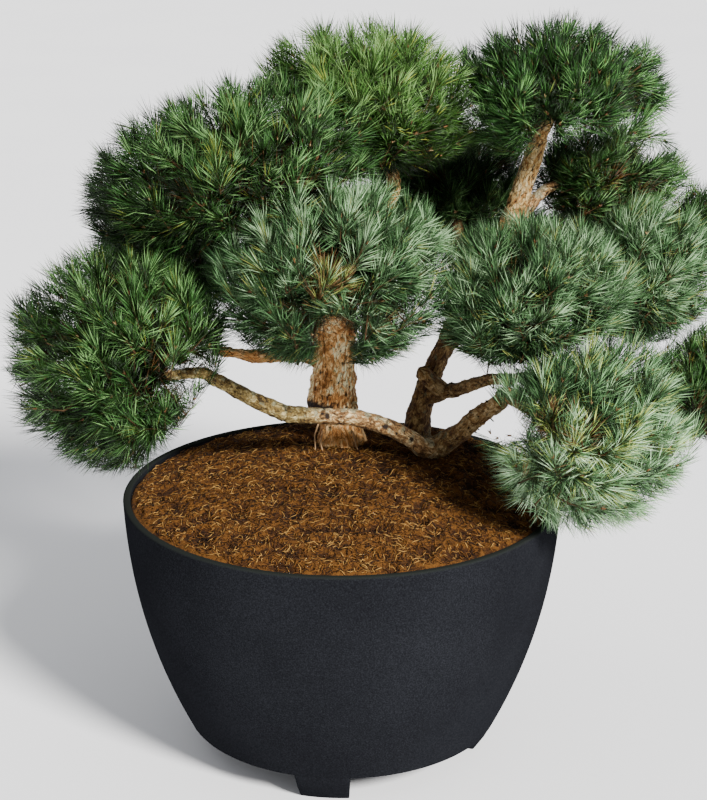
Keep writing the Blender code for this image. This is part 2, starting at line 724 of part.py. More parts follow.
def make_spray(root, axis, length, rng, group):
    """A burst of needles from one root: a two-ended cone whose ring is drawn out into teeth."""
    bm = bmesh.new()
    bmesh.ops.create_uvsphere(bm, u_segments=2 * TEETH, v_segments=2, radius=1.0)
    turn = axis.to_track_quat("Z", "Y").to_matrix() @ Matrix.Rotation(rng.uniform(0, math.pi), 3, "Z")
    teeth = [
        (SPRAY_SPREAD * rng.uniform(*TOOTH_LEAN), length * rng.uniform(*TOOTH_LENGTH))
        for _ in range(TEETH)]
    for vertex in bm.verts:
        place = vertex.co
        if place.z < -0.5:
            place = Vector((0, 0, 0))
        elif place.z > 0.5:
            place = Vector((0, 0, SPRAY_PEAK * length))
        else:
            step = round(math.atan2(place.y, place.x) / (math.pi / TEETH)) % (2 * TEETH)
            around = step * math.pi / TEETH
            if step % 2:
                lean, far = NOTCH_LEAN * SPRAY_SPREAD, NOTCH_LENGTH * length
            else:
                lean, far = teeth[step // 2]
            sideways = far * math.sin(lean)
            place = Vector((sideways * math.cos(around), sideways * math.sin(around), far * math.cos(lean)))
        vertex.co = root + turn @ place
    return object_from_bmesh("spray", bm, group)


def add_twig(own, direction, spaces, balls, rng, group):
    """A twig from the end of the pad's stem out through the core, with a burst of needles."""
    for share in TWIG_REACHES:
        outer = own.out_to(direction, share)
        axis = (outer - own.hub).normalized()
        root = outer - axis * SPRAY_LENGTH * SPRAY_INWARD
        spray = make_spray(root, axis, SPRAY_LENGTH, rng, group)
        tips = [vertex.co for vertex in spray.data.vertices]
        path = [root.lerp(tip, part) for tip in tips for part in (0.3, 0.6, 1.0)]
        if all(own.reach(place) < 1 and is_free(place, own, spaces, balls) for place in path):
            line = [Vector((*own.hub, TWIG_RADIUS * 1.5)), Vector((*(root + axis * 0.02), TWIG_RADIUS))]
            tube("twig", line, TWIG_SIDES, group)
            return
        bpy.data.objects.remove(spray, do_unlink=True)


def is_sound(mesh):
    """True where every edge joins two faces, also once points that nearly meet are merged."""
    bm = bmesh.new()
    bm.from_mesh(mesh)
    bmesh.ops.remove_doubles(bm, verts=bm.verts, dist=NEAR_MEETING)
    sound = all(len(edge.link_faces) == 2 for edge in bm.edges)
    bm.free()
    return sound


def make_pad(own, spaces, balls, group, material):
    """One pad, drawn again with the next seed where needles happen to meet edge to edge."""
    for seed in range(SEED, SEED + PAD_TRIES):
        rng = random.Random(f"{seed} {own.name}")
        pad = draw_pad(own, spaces, balls, rng, group)
        if is_sound(pad.data):
            break
        bpy.data.objects.remove(pad, do_unlink=True)
    pad.name = own.name
    pad.data.materials.clear()
    pad.data.materials.append(material)


def draw_pad(own, spaces, balls, rng, group):
    """A stem from its bough's tip, a core, and sprays of needles standing out of it."""
    parts = new_collection("pad_parts")
    tip, way, radius = limb_end(own.feed)
    places = (tip + way * GAP, tip + way * STEM_STRAIGHT, own.hub)
    stem_line = [Vector((*place, radius * share)) for place, share in zip(places, STEM_TAPER)]
    tube("stem", stem_line, STEM_SIDES, parts)
    for direction in spiral_directions(round(TWIGS_PER_AREA * own.area()), rng):
        add_twig(own, direction, spaces, balls, rng, parts)
    pad = make_core(own, spaces, balls, rng, group)
    clear_core_of_limbs(pad, own, balls)
    combine(pad, "UNION", parts, folded=True)
    return pad


def centre_on_floor(things):
    """Moves everything so that the origin is the middle of the footprint's box on the floor."""
    corners = [vertex.co for thing in things for vertex in thing.data.vertices]
    middle_x = (min(c.x for c in corners) + max(c.x for c in corners)) / 2
    middle_y = (min(c.y for c in corners) + max(c.y for c in corners)) / 2
    lowest = min(c.z for c in corners)
    for thing in things:
        thing.data.transform(Matrix.Translation((-middle_x, -middle_y, -lowest)))
        thing.data.shade_flat()


def main():
    clear_scene()
    plant = new_collection("potted_pine")
    materials = {name: new_material(name) for name in FINISHES}
    make_pot(plant, materials["pot_plastic"])
    make_soil(plant, materials["coir"])
    for name, (parent, _, _) in LIMBS.items():
        limb = make_limb(name, plant)
        if name == STUB_TRUNK:
            add_stub(limb)
        if parent:
            free_from_parent(limb, parent)
        limb.data.materials.clear()
        limb.data.materials.append(materials[BARK_OF.get(name, "bark_pale")])
    spaces = [Space(name) for name in PADS]
    balls = limb_knots()
    for space in spaces:
        make_pad(space, spaces, balls, plant, materials[space.needles])
    centre_on_floor(plant.objects)


main()
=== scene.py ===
import math

import bmesh
import bpy
import numpy as np
from mathutils import Matrix, Vector, noise


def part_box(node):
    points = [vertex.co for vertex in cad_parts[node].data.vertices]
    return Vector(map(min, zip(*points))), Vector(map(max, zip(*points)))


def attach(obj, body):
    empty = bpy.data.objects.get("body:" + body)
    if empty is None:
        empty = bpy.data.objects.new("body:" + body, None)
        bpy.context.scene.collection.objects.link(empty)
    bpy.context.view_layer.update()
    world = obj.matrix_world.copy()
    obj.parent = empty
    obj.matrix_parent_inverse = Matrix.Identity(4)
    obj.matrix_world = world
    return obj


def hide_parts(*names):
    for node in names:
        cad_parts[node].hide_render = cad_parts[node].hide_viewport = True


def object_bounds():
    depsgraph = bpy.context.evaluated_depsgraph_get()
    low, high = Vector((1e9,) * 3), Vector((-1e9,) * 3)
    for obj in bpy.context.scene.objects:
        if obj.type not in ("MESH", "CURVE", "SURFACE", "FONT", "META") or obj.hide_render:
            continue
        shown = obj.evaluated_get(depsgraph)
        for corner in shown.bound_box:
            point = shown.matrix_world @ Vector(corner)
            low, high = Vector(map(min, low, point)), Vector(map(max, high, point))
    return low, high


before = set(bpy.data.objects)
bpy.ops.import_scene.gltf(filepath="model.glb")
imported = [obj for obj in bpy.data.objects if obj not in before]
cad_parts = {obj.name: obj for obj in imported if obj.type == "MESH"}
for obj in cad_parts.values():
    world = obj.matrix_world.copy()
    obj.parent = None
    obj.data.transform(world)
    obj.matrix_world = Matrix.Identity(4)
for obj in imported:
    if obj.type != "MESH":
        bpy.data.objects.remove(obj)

cad_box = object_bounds()

# The pot's axis, which the limbs and pads below are measured from
pot_low, pot_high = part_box("pot")
POT_AXIS = Vector(((pot_low.x + pot_high.x) / 2, (pot_low.y + pot_high.y) / 2, 0.0))

# Pot: a turned bowl on four feet
RIM_RADIUS = 0.641
POT_HEIGHT = 0.788
LIP_RADIUS = 0.467
LIP_HEIGHT = 0.096
WALL = 0.022
FLOOR = 0.030
SIDE_POWER = 2.18
SIDE_ROUNDNESS = 0.817
SIDE_LEVELS = 40
POT_STEPS = 160
RIM_ROUNDING = 0.006
FEET = ("foot_front", "foot_right", "foot_back", "foot_left")
FOOT_SPAN = math.radians(20)
FOOT_RADIUS = 0.410
FOOT_DEPTH = 0.075
FOOT_SETBACK = 0.0005
FOOT_BULGE = 0.004
FOOT_SINK = 0.010
FOOT_ROUNDING = 0.003
FOOT_STEPS = 10
FRONT_FOOT_TURN = math.radians(-97)

# Soil: heaped coir, level round the trunks, in clumps and crumbs with loose fibres on it
GROUND = 0.840
SOIL_EDGE = 0.772
SOIL_SKIRT = 0.10
SOIL_CLEARANCE = 0.001
MOUND_CENTRE = Vector((0.12, 0.24))
MOUND_SWELL = 1.35
SOIL_CELLS = 230
CLUMP_SIZE = 0.085
CLUMP_HEIGHT = 0.018
CRUMB_SIZE = 0.014
CRUMB_HEIGHT = 0.0095
FIBRE_PIECES = 2
FIBRES_A_PIECE = 8000
FIBRE_KNOTS = 4
FIBRE_LENGTH = (0.012, 0.044)
FIBRE_WIDTH = (0.0014, 0.0028)
FIBRE_ARCH = 0.0045

# Limbs: rings and sides a few millimetres apart, so that the bark has real flakes and cracks
LINE_STEPS = 10
BARK_CELL = 0.0042
FLARE_HEIGHT = 0.09
FLARE = 0.30
ROOT_RIDGES = 5
COLLAR_SWELL = 0.35
COLLAR_REACH = 0.020
LUMP_SHARE_OF_RADIUS = 0.10
LEDGE = 0.944
LEDGE_STEP = 0.006
LEDGE_EDGE = 0.004
# Painted shade under the left trunk's ledge: the middle height of its dark band and its width
LEDGE_SHADE_BAND = (0.974, 0.024)
WAIST = (1.13, 0.07, 0.20)
SPUR_COUNT = 26
SPUR_LENGTH = (0.006, 0.016)

# Foliage: shells of shoots as share of the space and shoots a square metre of it
HUB_DROP = 0.30
SHELLS = ((1.00, 225), (0.76, 95))
TIP_SHARE = 1.09
TIP_JITTER = 0.025
NEEDLE_EDGE = 1.14
PROUD = 0.030
MINGLE = 0.86
SPARSE = 0.15
LEAFY = 0.35
LUMP_SIZE = 0.13
LUMP_SHARE = 0.08
TURN_TO_LIMB = 0.5
FORWARD = 0.45
UPWARD = np.array([0.0, 0.0, 0.04])
AXIS_SPREAD = 0.24
SWEEP_SIZE = 0.11
SWEEP = 0.30
SHOOT_LENGTH = 0.095
NEEDLE_LENGTH = 0.092
NEEDLE_WIDTH = 0.0022
PAIRS_A_SHOOT = 48
PAIR_FORK = math.radians(4)
LEAN_AT_BASE = 66
LEAN_AT_TIP = 12
BROWN_SHARE = 0.16
BUDS_A_SHOOT = 4
BUD_SHARE = 0.8
STEM_SINK = 0.005
STEM_TAPER = (0.97, 0.90, 0.78, 0.62)
CORE_SHARE = 0.40
CORE_ROUGHNESS = 0.22
LIMB_CLEARANCE = 0.004
NEIGHBOUR_MARGIN = 0.01
TWIG_FORKS_PER_AREA = 9
SEED = 71

# Each stem or bough: what it grows from, and the points of its middle line as x, y, z and radius
LIMBS = {
    "trunk_left": (None, [
        (-0.004, 0.275, 0.810, 0.068), (-0.012, 0.275, 0.925, 0.062), (-0.029, 0.270, 0.962, 0.075),
        (-0.029, 0.265, 1.010, 0.071), (-0.023, 0.255, 1.143, 0.063), (-0.013, 0.255, 1.301, 0.054),
        (0.014, 0.260, 1.421, 0.043), (0.070, 0.260, 1.515, 0.033), (0.130, 0.250, 1.590, 0.026),
        (0.150, 0.238, 1.660, 0.021), (0.128, 0.222, 1.745, 0.018)]),
    "trunk_right": (None, [
        (0.218, 0.300, 0.810, 0.046), (0.236, 0.300, 0.935, 0.038), (0.265, 0.290, 1.035, 0.036),
        (0.309, 0.280, 1.149, 0.037), (0.381, 0.270, 1.293, 0.034), (0.452, 0.270, 1.431, 0.032),
        (0.502, 0.260, 1.555, 0.031), (0.547, 0.260, 1.700, 0.029), (0.572, 0.258, 1.785, 0.026)]),
    "front_stem": (None, [
        (0.262, 0.175, 0.810, 0.040), (0.290, 0.150, 0.870, 0.034), (0.345, 0.080, 0.940, 0.030),
        (0.405, 0.000, 1.025, 0.028), (0.452, -0.070, 1.085, 0.025)]),
    "long_bough_rise": ("front_stem", [
        (0.274, 0.160, 0.864, 0.026), (0.238, 0.108, 0.880, 0.026), (0.199, 0.098, 0.917, 0.026),
        (0.111, 0.080, 0.966, 0.026), (0.023, 0.055, 0.996, 0.025), (-0.094, 0.030, 1.010, 0.025),
        (-0.166, 0.010, 1.024, 0.025)]),
    "long_bough_reach": ("long_bough_rise", [
        (-0.166, 0.010, 1.024, 0.025), (-0.265, -0.020, 1.081, 0.023), (-0.330, -0.050, 1.130, 0.021),
        (-0.372, -0.070, 1.158, 0.019)]),
    "left_bough": ("trunk_left", [
        (-0.026, 0.262, 1.090, 0.024), (-0.090, 0.245, 1.122, 0.021), (-0.156, 0.190, 1.146, 0.020),
        (-0.235, 0.100, 1.168, 0.021), (-0.300, 0.040, 1.196, 0.016), (-0.372, 0.020, 1.215, 0.015)]),
    "right_bough": ("trunk_right", [
        (0.262, 0.288, 0.990, 0.025), (0.306, 0.250, 1.012, 0.023), (0.343, 0.200, 1.033, 0.021),
        (0.394, 0.100, 1.087, 0.019), (0.440, 0.010, 1.128, 0.017), (0.482, -0.070, 1.150, 0.015)]),
    "upper_left_bough": ("trunk_left", [
        (-0.004, 0.257, 1.370, 0.030), (-0.090, 0.205, 1.450, 0.026), (-0.170, 0.150, 1.530, 0.023),
        (-0.222, 0.110, 1.590, 0.021)]),
    "centre_bough": ("trunk_left", [
        (-0.018, 0.255, 1.215, 0.030), (-0.028, 0.160, 1.265, 0.026), (-0.032, 0.075, 1.318, 0.022)]),
    "back_left_bough": ("trunk_left", [
        (-0.021, 0.255, 1.170, 0.026), (-0.150, 0.320, 1.215, 0.022), (-0.300, 0.370, 1.270, 0.019),
        (-0.385, 0.395, 1.310, 0.017)]),
    "back_centre_bough": ("trunk_left", [
        (-0.014, 0.255, 1.290, 0.026), (-0.030, 0.380, 1.300, 0.023), (-0.050, 0.500, 1.325, 0.020)]),
    "centre_right_bough": ("trunk_right", [
        (0.320, 0.279, 1.172, 0.026), (0.375, 0.200, 1.232, 0.023), (0.430, 0.110, 1.292, 0.021),
        (0.455, 0.070, 1.318, 0.020)]),
    "shade_bough": ("trunk_right", [
        (0.405, 0.270, 1.340, 0.023), (0.355, 0.360, 1.420, 0.020), (0.350, 0.450, 1.480, 0.017)]),
    "back_right_bough": ("trunk_right", [
        (0.466, 0.267, 1.465, 0.022), (0.545, 0.305, 1.560, 0.019), (0.600, 0.360, 1.605, 0.016),
        (0.640, 0.395, 1.615, 0.015)]),
    "right_reach_bough": ("trunk_right", [
        (0.420, 0.270, 1.366, 0.024), (0.560, 0.265, 1.350, 0.021), (0.680, 0.235, 1.360, 0.018),
        (0.752, 0.210, 1.375, 0.016)]),
    "far_high_bough": ("right_reach_bough", [
        (0.580, 0.260, 1.352, 0.017), (0.720, 0.395, 1.395, 0.016), (0.880, 0.430, 1.450, 0.014),
        (0.990, 0.405, 1.480, 0.013)]),
    "far_low_bough": ("trunk_right", [
        (0.256, 0.294, 1.002, 0.020), (0.345, 0.330, 0.996, 0.017), (0.445, 0.340, 1.020, 0.016),
        (0.600, 0.290, 1.040, 0.017), (0.760, 0.190, 1.055, 0.016), (0.935, 0.105, 1.080, 0.015)]),
    "rear_right_bough": ("trunk_right", [
        (0.352, 0.274, 1.235, 0.024), (0.410, 0.400, 1.255, 0.021), (0.490, 0.500, 1.290, 0.018)]),
}
STUB = [(0.264, 0.287, 0.985, 0.026), (0.300, 0.250, 1.012, 0.026), (0.266, 0.226, 1.052, 0.0245),
        (0.229, 0.206, 1.098, 0.0250)]

# Bark finishes: flake width and length, relief, and the limbs that carry the two rougher ones
BARK_RELIEF = {
    "bark_orange": (0.012, 0.024, 0.0055),
    "bark_dark": (0.013, 0.024, 0.0042),
    "bark_pale": (0.021, 0.027, 0.0030),
}
BARK_OF = {
    "trunk_left": "bark_orange", "trunk_right": "bark_dark", "front_stem": "bark_dark",
    "right_bough": "bark_dark", "far_low_bough": "bark_dark", "shade_bough": "bark_dark",
    "centre_right_bough": "bark_dark", "stub": "bark_dark", "left_bough": "bark_orange",
    "centre_bough": "bark_orange",
}
# Where a limb's bark turns from its older to its younger look: which coordinate, from and to
TURNS_YOUNG = {
    "trunk_left": (2, 1.40, 1.60), "trunk_right": (2, 1.28, 1.52), "long_bough_rise": (0, -0.03, -0.13),
    "long_bough_reach": (0, -0.03, -0.13), "left_bough": (0, -0.05, -0.25), "front_stem": (2, 0.72, 1.36),
    "stub": (2, 0.90, 1.35), "right_bough": (0, 0.24, 0.60),
}
# How thickly lichen grows at the foot of a limb
LICHEN_AT_FOOT = {"front_stem": 0.40, "long_bough_rise": 0.25, "trunk_right": 0.12}
# Healed cuts on the boughs' front sides: middle and radius
KNOTS = [
    (-0.042, 0.016, 1.012, 0.014), (0.128, 0.058, 0.965, 0.017), (0.205, 0.074, 0.920, 0.013),
    (-0.205, 0.090, 1.160, 0.012),
]
# Thin pale roots that hang from the left trunk's foot into the soil
ROOTLETS = [
    [(-0.072, 0.212, 0.925), (-0.084, 0.196, 0.890), (-0.082, 0.186, 0.850), (-0.090, 0.178, 0.835)],
    [(-0.060, 0.208, 0.900), (-0.066, 0.190, 0.868), (-0.060, 0.176, 0.845), (-0.064, 0.168, 0.834)],
    [(0.030, 0.206, 0.900), (0.040, 0.190, 0.862), (0.050, 0.178, 0.840), (0.058, 0.166, 0.834)],
]

# Each pad: the limb that feeds it, the middle and half sizes of its space, its tip-up and its needles
PADS = {
    "pad_low_left": ("long_bough_reach", (-0.618, -0.150, 1.250), (0.338, 0.315, 0.330), 0, "deep"),
    "pad_upper_left": ("upper_left_bough", (-0.312, 0.030, 1.758), (0.452, 0.310, 0.245), 16, "deep"),
    "pad_top_middle": ("trunk_left", (0.085, 0.215, 1.922), (0.352, 0.300, 0.222), -4, "bright"),
    "pad_top_right": ("trunk_right", (0.618, 0.250, 1.930), (0.338, 0.310, 0.215), 0, "deep"),
    "pad_centre": ("centre_bough", (-0.025, -0.135, 1.498), (0.360, 0.305, 0.278), 0, "blue"),
    "pad_centre_right": ("centre_right_bough", (0.532, -0.100, 1.432), (0.312, 0.280, 0.230), 0, "blue"),
    "pad_low_right": ("front_stem", (0.680, -0.290, 1.088), (0.306, 0.285, 0.290), 0, "blue"),
    "pad_back_right": ("back_right_bough", (0.825, 0.475, 1.625), (0.250, 0.235, 0.185), -8, "deep"),
    "pad_right": ("right_reach_bough", (0.910, 0.170, 1.412), (0.205, 0.235, 0.232), 0, "blue"),
    "pad_far_right_high": ("far_high_bough", (1.120, 0.420, 1.500), (0.185, 0.190, 0.140), 0, "deep"),
    "pad_far_right_low": ("far_low_bough", (1.085, 0.060, 1.120), (0.190, 0.195, 0.188), 0, "deep"),
    "pad_shade": ("shade_bough", (0.345, 0.625, 1.575), (0.285, 0.235, 0.215), 0, "deep"),
    "pad_back_left": ("back_left_bough", (-0.560, 0.440, 1.395), (0.250, 0.230, 0.172), 5, "deep"),
    "pad_back_centre": ("back_centre_bough", (-0.070, 0.690, 1.400), (0.290, 0.240, 0.185), 0, "deep"),
    "pad_rear_right": ("rear_right_bough", (0.600, 0.680, 1.330), (0.260, 0.230, 0.170), 0, "blue"),
}
# How much of its shoots and of its middle an airy pad has
AIRY = {"pad_low_right": 0.92}
# The side on which a pad is thin enough to see through, and how much of it is left out there
THIN_SIDE = {"pad_low_right": ((-0.80, -0.53, -0.28), 0.40)}
# The way that a pad's openings face, and where one is open in front of a limb: the two ends of the stretch
# that shows and half the opening's width
TO_FRONT = np.array([0.0, -0.95, 0.31])
OPEN_BEFORE = {
    "pad_top_right": ((0.548, 0.259, 1.735), (0.574, 0.257, 1.790), 0.022),
    "pad_centre": ((-0.022, 0.255, 1.060), (-0.017, 0.255, 1.172), 0.058),
    "pad_low_left": ((-0.372, -0.070, 1.166), (-0.470, -0.100, 1.190), 0.021),
}
# A pad that is cut flat below: the level there, from its left to its right, with its edge at 1
CUT_BELOW = {"pad_top_right": (-0.90, -0.40)}
# A pad with a hole that the floor shows through: its middle, across and up, and its half width
OPEN_THROUGH = {"pad_low_right": (-0.78, -0.06, 0.22)}
# A pad that is cut back on one shoulder: which way, and how far out
CUT_BACK = {"pad_low_left": ((0.8, 0.0, -0.6), 0.68)}
# Where a pad is worn, with brown needles and fewer of them: which way from its middle, and how wide
WORN = {
    "pad_centre": ((0.02, -0.90, 0.40), 0.30), "pad_low_left": ((0.25, -0.91, 0.33), 0.16),
    "pad_back_right": ((0.02, -0.95, 0.35), 0.26), "pad_low_right": ((-0.37, -0.73, 0.57), 0.22),
}
WORN_LEFT_OUT = 0.25

# Needle colours from shaded to lit, with each one's share, and the tones of yellow needles, of near-black painted
# shade for the inner needles (old), and of shed needles
NEEDLE_TONES = {
    "dark": (("091501", 3), ("0f2609", 4), ("1c3c0f", 4), ("345b2a", 3), ("63904e", 2)),
    "deep": (("091601", 3), ("112608", 4), ("1f3b10", 4), ("365b2b", 3), ("688e53", 2)),
    "bright": (("0c1b04", 3), ("193108", 4), ("2a4713", 4), ("456b2c", 3), ("6d8e50", 2)),
    "blue": (("0f2208", 3), ("1e391b", 4), ("34522b", 4), ("567a4e", 3), ("8ba87f", 2)),
    "pale": (("1a3016", 4), ("3f6038", 3), ("68905f", 4), ("93b688", 3), ("bcd8b0", 2)),
}
# Painted shade and light: the top right pad takes the darkest greens as painted shade, and the low right pad pale
# greens as painted light
TONES_OF = {"pad_low_right": "pale", "pad_top_right": "dark"}
# The middle tone of each row, old, is near-black painted shade for the inner needles
EXTRA_TONES = {
    "dark": ("59662a", "0a1306", "4a3215"), "deep": ("66722a", "0a1306", "503516"),
    "bright": ("8a9438", "0a1306", "4a3215"), "blue": ("7f8642", "121c0b", "5d4526"),
    "pale": ("9aa955", "1c2a12", "5c4526"),
}
YELLOW_SHARES = {"dark": 0.010, "deep": 0.014, "bright": 0.025, "blue": 0.024, "pale": 0.09}
# Painted light: how much lighter than below the needles are painted on top of a pad, and with a minus, how much
# darker as painted shade
PAINTED_TOP_LIGHT = {"pale": -0.20, "dark": -0.10, "deep": 0.12, "blue": 0.18}


def linear(hex_colour):
    """Linear red, green, blue and alpha of an sRGB hex colour."""
    channels = (int(hex_colour[i:i + 2], 16) / 255 for i in (0, 2, 4))
    return [c / 12.92 if c <= 0.04045 else ((c + 0.055) / 1.055) ** 2.4 for c in channels] + [1.0]


def per_metre(millimetres):
    """A texture scale from the real size of what it draws."""
    return 1000 / millimetres


def add(material, kind, settings=None, **links):
    """Adds a node with its settings, a ramp's colour stops among them, and with links to its inputs."""
    node = material.node_tree.nodes.new(kind)
    for name, value in (settings or {}).items():
        if name == "stops":
            elements = node.color_ramp.elements
            elements[0].position, elements[0].color = value[0][0], linear(value[0][1])
            elements[1].position, elements[1].color = value[-1][0], linear(value[-1][1])
            for place, colour in value[1:-1]:
                elements.new(place).color = linear(colour)
        elif isinstance(name, int) or name in node.inputs:
            node.inputs[name].default_value = value
        else:
            setattr(node, name, value)
    for name, source in links.items():
        target = node.inputs[int(name[1:])] if name[0] == "i" and name[1:].isdigit() else node.inputs[name]
        material.node_tree.links.new(source, target)
    return node


def new_material(name, roughness, specular=0.5):
    material = bpy.data.materials.new(name)
    material.use_nodes = True
    shader = material.node_tree.nodes["Principled BSDF"]
    shader.inputs["Roughness"].default_value = roughness
    shader.inputs["Specular IOR Level"].default_value = specular
    place = add(material, "ShaderNodeTexCoord").outputs["Object"]
    return material, shader, place


def finish_shader(material, shader, colour, height=None, strength=0.0, distance=0.0):
    """Feeds a shader its colour and, where there is a height, its relief."""
    material.node_tree.links.new(colour, shader.inputs["Base Color"])
    if height:
        bump = add(material, "ShaderNodeBump", {"Strength": strength, "Distance": distance}, Height=height)
        material.node_tree.links.new(bump.outputs["Normal"], shader.inputs["Normal"])
    return material


def moulded_polyethylene():
    """Anthracite polyethylene from a sandblasted mould: a matt grain that only gleams softly, and a rim
    that is painted a paler grey-green as a painted highlight."""
    material, shader, place = new_material("moulded_polyethylene", 0.48, 0.0)
    grain = add(material, "ShaderNodeTexNoise", {"Scale": per_metre(4), "Detail": 3.0}, Vector=place)
    cloud = add(material, "ShaderNodeTexNoise", {"Scale": per_metre(330), "Detail": 4.0}, Vector=place)
    tone = add(material, "ShaderNodeMath", {"operation": "MULTIPLY_ADD", 1: 0.35},
               i0=cloud.outputs["Fac"], i2=grain.outputs["Fac"])
    body = add(material, "ShaderNodeValToRGB",
               {"stops": [(0.45, "111114"), (0.66, "17181b"), (0.90, "212226")]}, i0=tone.outputs[0])
    axes = add(material, "ShaderNodeSeparateXYZ", i0=place)
    # Painted highlight: the top few millimetres of the rim are painted a paler grey-green
    rim_highlight = add(material, "ShaderNodeValToRGB",
                 {"stops": [(POT_HEIGHT - 0.005, "000000"), (POT_HEIGHT - 0.0005, "ffffff")]}, i0=axes.outputs["Z"])
    colour = add(material, "ShaderNodeMix", {"data_type": "RGBA", 7: linear("1f221f")},
                 i0=rim_highlight.outputs["Color"], i6=body.outputs["Color"])
    return finish_shader(material, shader, colour.outputs[2], grain.outputs["Fac"], 0.55, 0.0008)


def coir():
    """Shredded coconut husk, pressed into clumps: dark hollows and golden crowns as painted shade and light, quite
    matt.
    """
    material, shader, place = new_material("coir", 0.95, 0.2)
    crumbs = add(material, "ShaderNodeTexNoise",
                 {"Scale": per_metre(6.5), "Detail": 6.0, "Roughness": 0.74}, Vector=place)
    # Painted shade and light: the colour darkens with the relief's depth in the hollows and pales on the crowns
    crown = add(material, "ShaderNodeAttribute", {"attribute_name": "crown"})
    tone = add(material, "ShaderNodeMath", {"operation": "MULTIPLY_ADD", 1: 0.65},
               i0=crown.outputs["Fac"], i2=crumbs.outputs["Fac"])
    colour = add(material, "ShaderNodeValToRGB",
                 {"stops": [(0.50, "0b0401"), (0.68, "221003"), (0.90, "3a2006"), (1.06, "5e3b12")]},
                 i0=tone.outputs[0])
    return finish_shader(material, shader, colour.outputs["Color"], crumbs.outputs["Fac"], 1.0, 0.005)


def bark(name, stretch, crack, old, young, lichen):
    """Pine bark, which sheds in thin papery flakes: a mottle of old grey-brown and fresh orange ones over
    dark cracks, with a crust of lichen on the sides that face the sky."""
    material, shader, _ = new_material(name, 0.84, 0.3)
    reads = {key: add(material, "ShaderNodeAttribute", {"attribute_name": key}).outputs["Fac"]
             for key in ("crack", "tone", "youth", "lichen")}
    post = add(material, "ShaderNodeAttribute", {"attribute_name": "post"}).outputs["Vector"]
    along = add(material, "ShaderNodeMapping", {"Scale": (1.0, 1.0, stretch)}, Vector=post).outputs["Vector"]
    drift = add(material, "ShaderNodeTexNoise", {"Scale": per_metre(24), "Detail": 2.0}, Vector=along)
    grain = add(material, "ShaderNodeVectorMath", {"operation": "MULTIPLY_ADD", 1: (0.03, 0.03, 0.03)},
                i0=drift.outputs["Color"], i2=along).outputs[0]
    fleck = add(material, "ShaderNodeTexNoise",
                {"Scale": per_metre(7), "Detail": 5.0, "Roughness": 0.72}, Vector=grain)
    flake = add(material, "ShaderNodeTexVoronoi", {"Scale": per_metre(9)}, Vector=grain)
    seam = add(material, "ShaderNodeTexVoronoi",
               {"feature": "DISTANCE_TO_EDGE", "Scale": per_metre(9)}, Vector=grain)
    mottle = add(material, "ShaderNodeMath", {"operation": "MULTIPLY_ADD", 1: 0.24},
                 i0=flake.outputs["Color"], i2=reads["tone"])
    tone = add(material, "ShaderNodeMath", {"operation": "MULTIPLY_ADD", 1: 0.80},
               i0=fleck.outputs["Fac"], i2=mottle.outputs[0])
    looks = [add(material, "ShaderNodeValToRGB", {"stops": stops}, i0=tone.outputs[0]) for stops in (old, young)]
    aged = add(material, "ShaderNodeMix", {"data_type": "RGBA"}, i0=reads["youth"],
               i6=looks[0].outputs["Color"], i7=looks[1].outputs["Color"])
    crust = add(material, "ShaderNodeMath", {"operation": "MULTIPLY_ADD", 1: 0.6},
                i0=fleck.outputs["Fac"], i2=reads["lichen"])
    cover = add(material, "ShaderNodeValToRGB", {"stops": [(0.80, "000000"), (0.95, "d0d0d0")]},
                i0=crust.outputs[0])
    mossy = add(material, "ShaderNodeMix", {"data_type": "RGBA", 7: linear(lichen)},
                i0=cover.outputs["Color"], i6=aged.outputs[2])
    parted = add(material, "ShaderNodeValToRGB", {"stops": [(0.00, "909090"), (0.07, "ffffff")]},
                 i0=seam.outputs["Distance"])
    opened = add(material, "ShaderNodeValToRGB", {"stops": [(0.03, "000000"), (0.34, "ffffff")]},
                 i0=reads["crack"])
    kept = add(material, "ShaderNodeMath", {"operation": "MULTIPLY"}, i0=opened.outputs["Color"],
               i1=parted.outputs["Color"])
    colour = add(material, "ShaderNodeMix", {"data_type": "RGBA", 6: linear(crack)},
                 i0=kept.outputs[0], i7=mossy.outputs[2])
    height = add(material, "ShaderNodeMath", {"operation": "MULTIPLY_ADD", 1: 0.7},
                 i0=fleck.outputs["Fac"], i2=kept.outputs[0])
    return finish_shader(material, shader, colour.outputs[2], height.outputs[0], 0.8, 0.0025)


def living_skin(name, colour, lift, roughness=0.42, specular=0.25):
    """The waxy skin of a needle, or another thin growth: its colour, clouded paler where the bloom is
    thick, with a low gleam."""
    material, shader, place = new_material(name, roughness, specular)
    bloom = add(material, "ShaderNodeTexNoise", {"Scale": per_metre(16), "Detail": 2.0}, Vector=place)
    base = linear(colour)
    pale = [min(c * lift, 1.0) for c in base[:3]] + [1.0]
    mixed = add(material, "ShaderNodeMix", {"data_type": "RGBA", 6: base, 7: pale}, i0=bloom.outputs["Fac"])
    return finish_shader(material, shader, mixed.outputs[2])


def finish_piece(name, mesh, node_names):
    """Places a made mesh from the pot's axis into the frame, under the root body, and hides the parts that it
    replaces.
    """
    mesh.transform(Matrix.Translation(POT_AXIS))
    piece = bpy.data.objects.new(name, mesh)
    bpy.context.scene.collection.objects.link(piece)
    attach(piece, "root")
    if node_names:
        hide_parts(*node_names)
    return piece


def mesh_from(bm, name, materials, smooth=True):
    mesh = bpy.data.meshes.new(name)
    bm.to_mesh(mesh)
    bm.free()
    for material in materials:
        mesh.materials.append(material)
    if smooth:
        mesh.shade_smooth()
    return mesh


def side_radius(height):
    rise = (height - LIP_HEIGHT) / (POT_HEIGHT - LIP_HEIGHT)
    curve = SIDE_ROUNDNESS * (1 - (1 - rise) ** SIDE_POWER) + (1 - SIDE_ROUNDNESS) * rise
    return LIP_RADIUS + (RIM_RADIUS - LIP_RADIUS) * curve


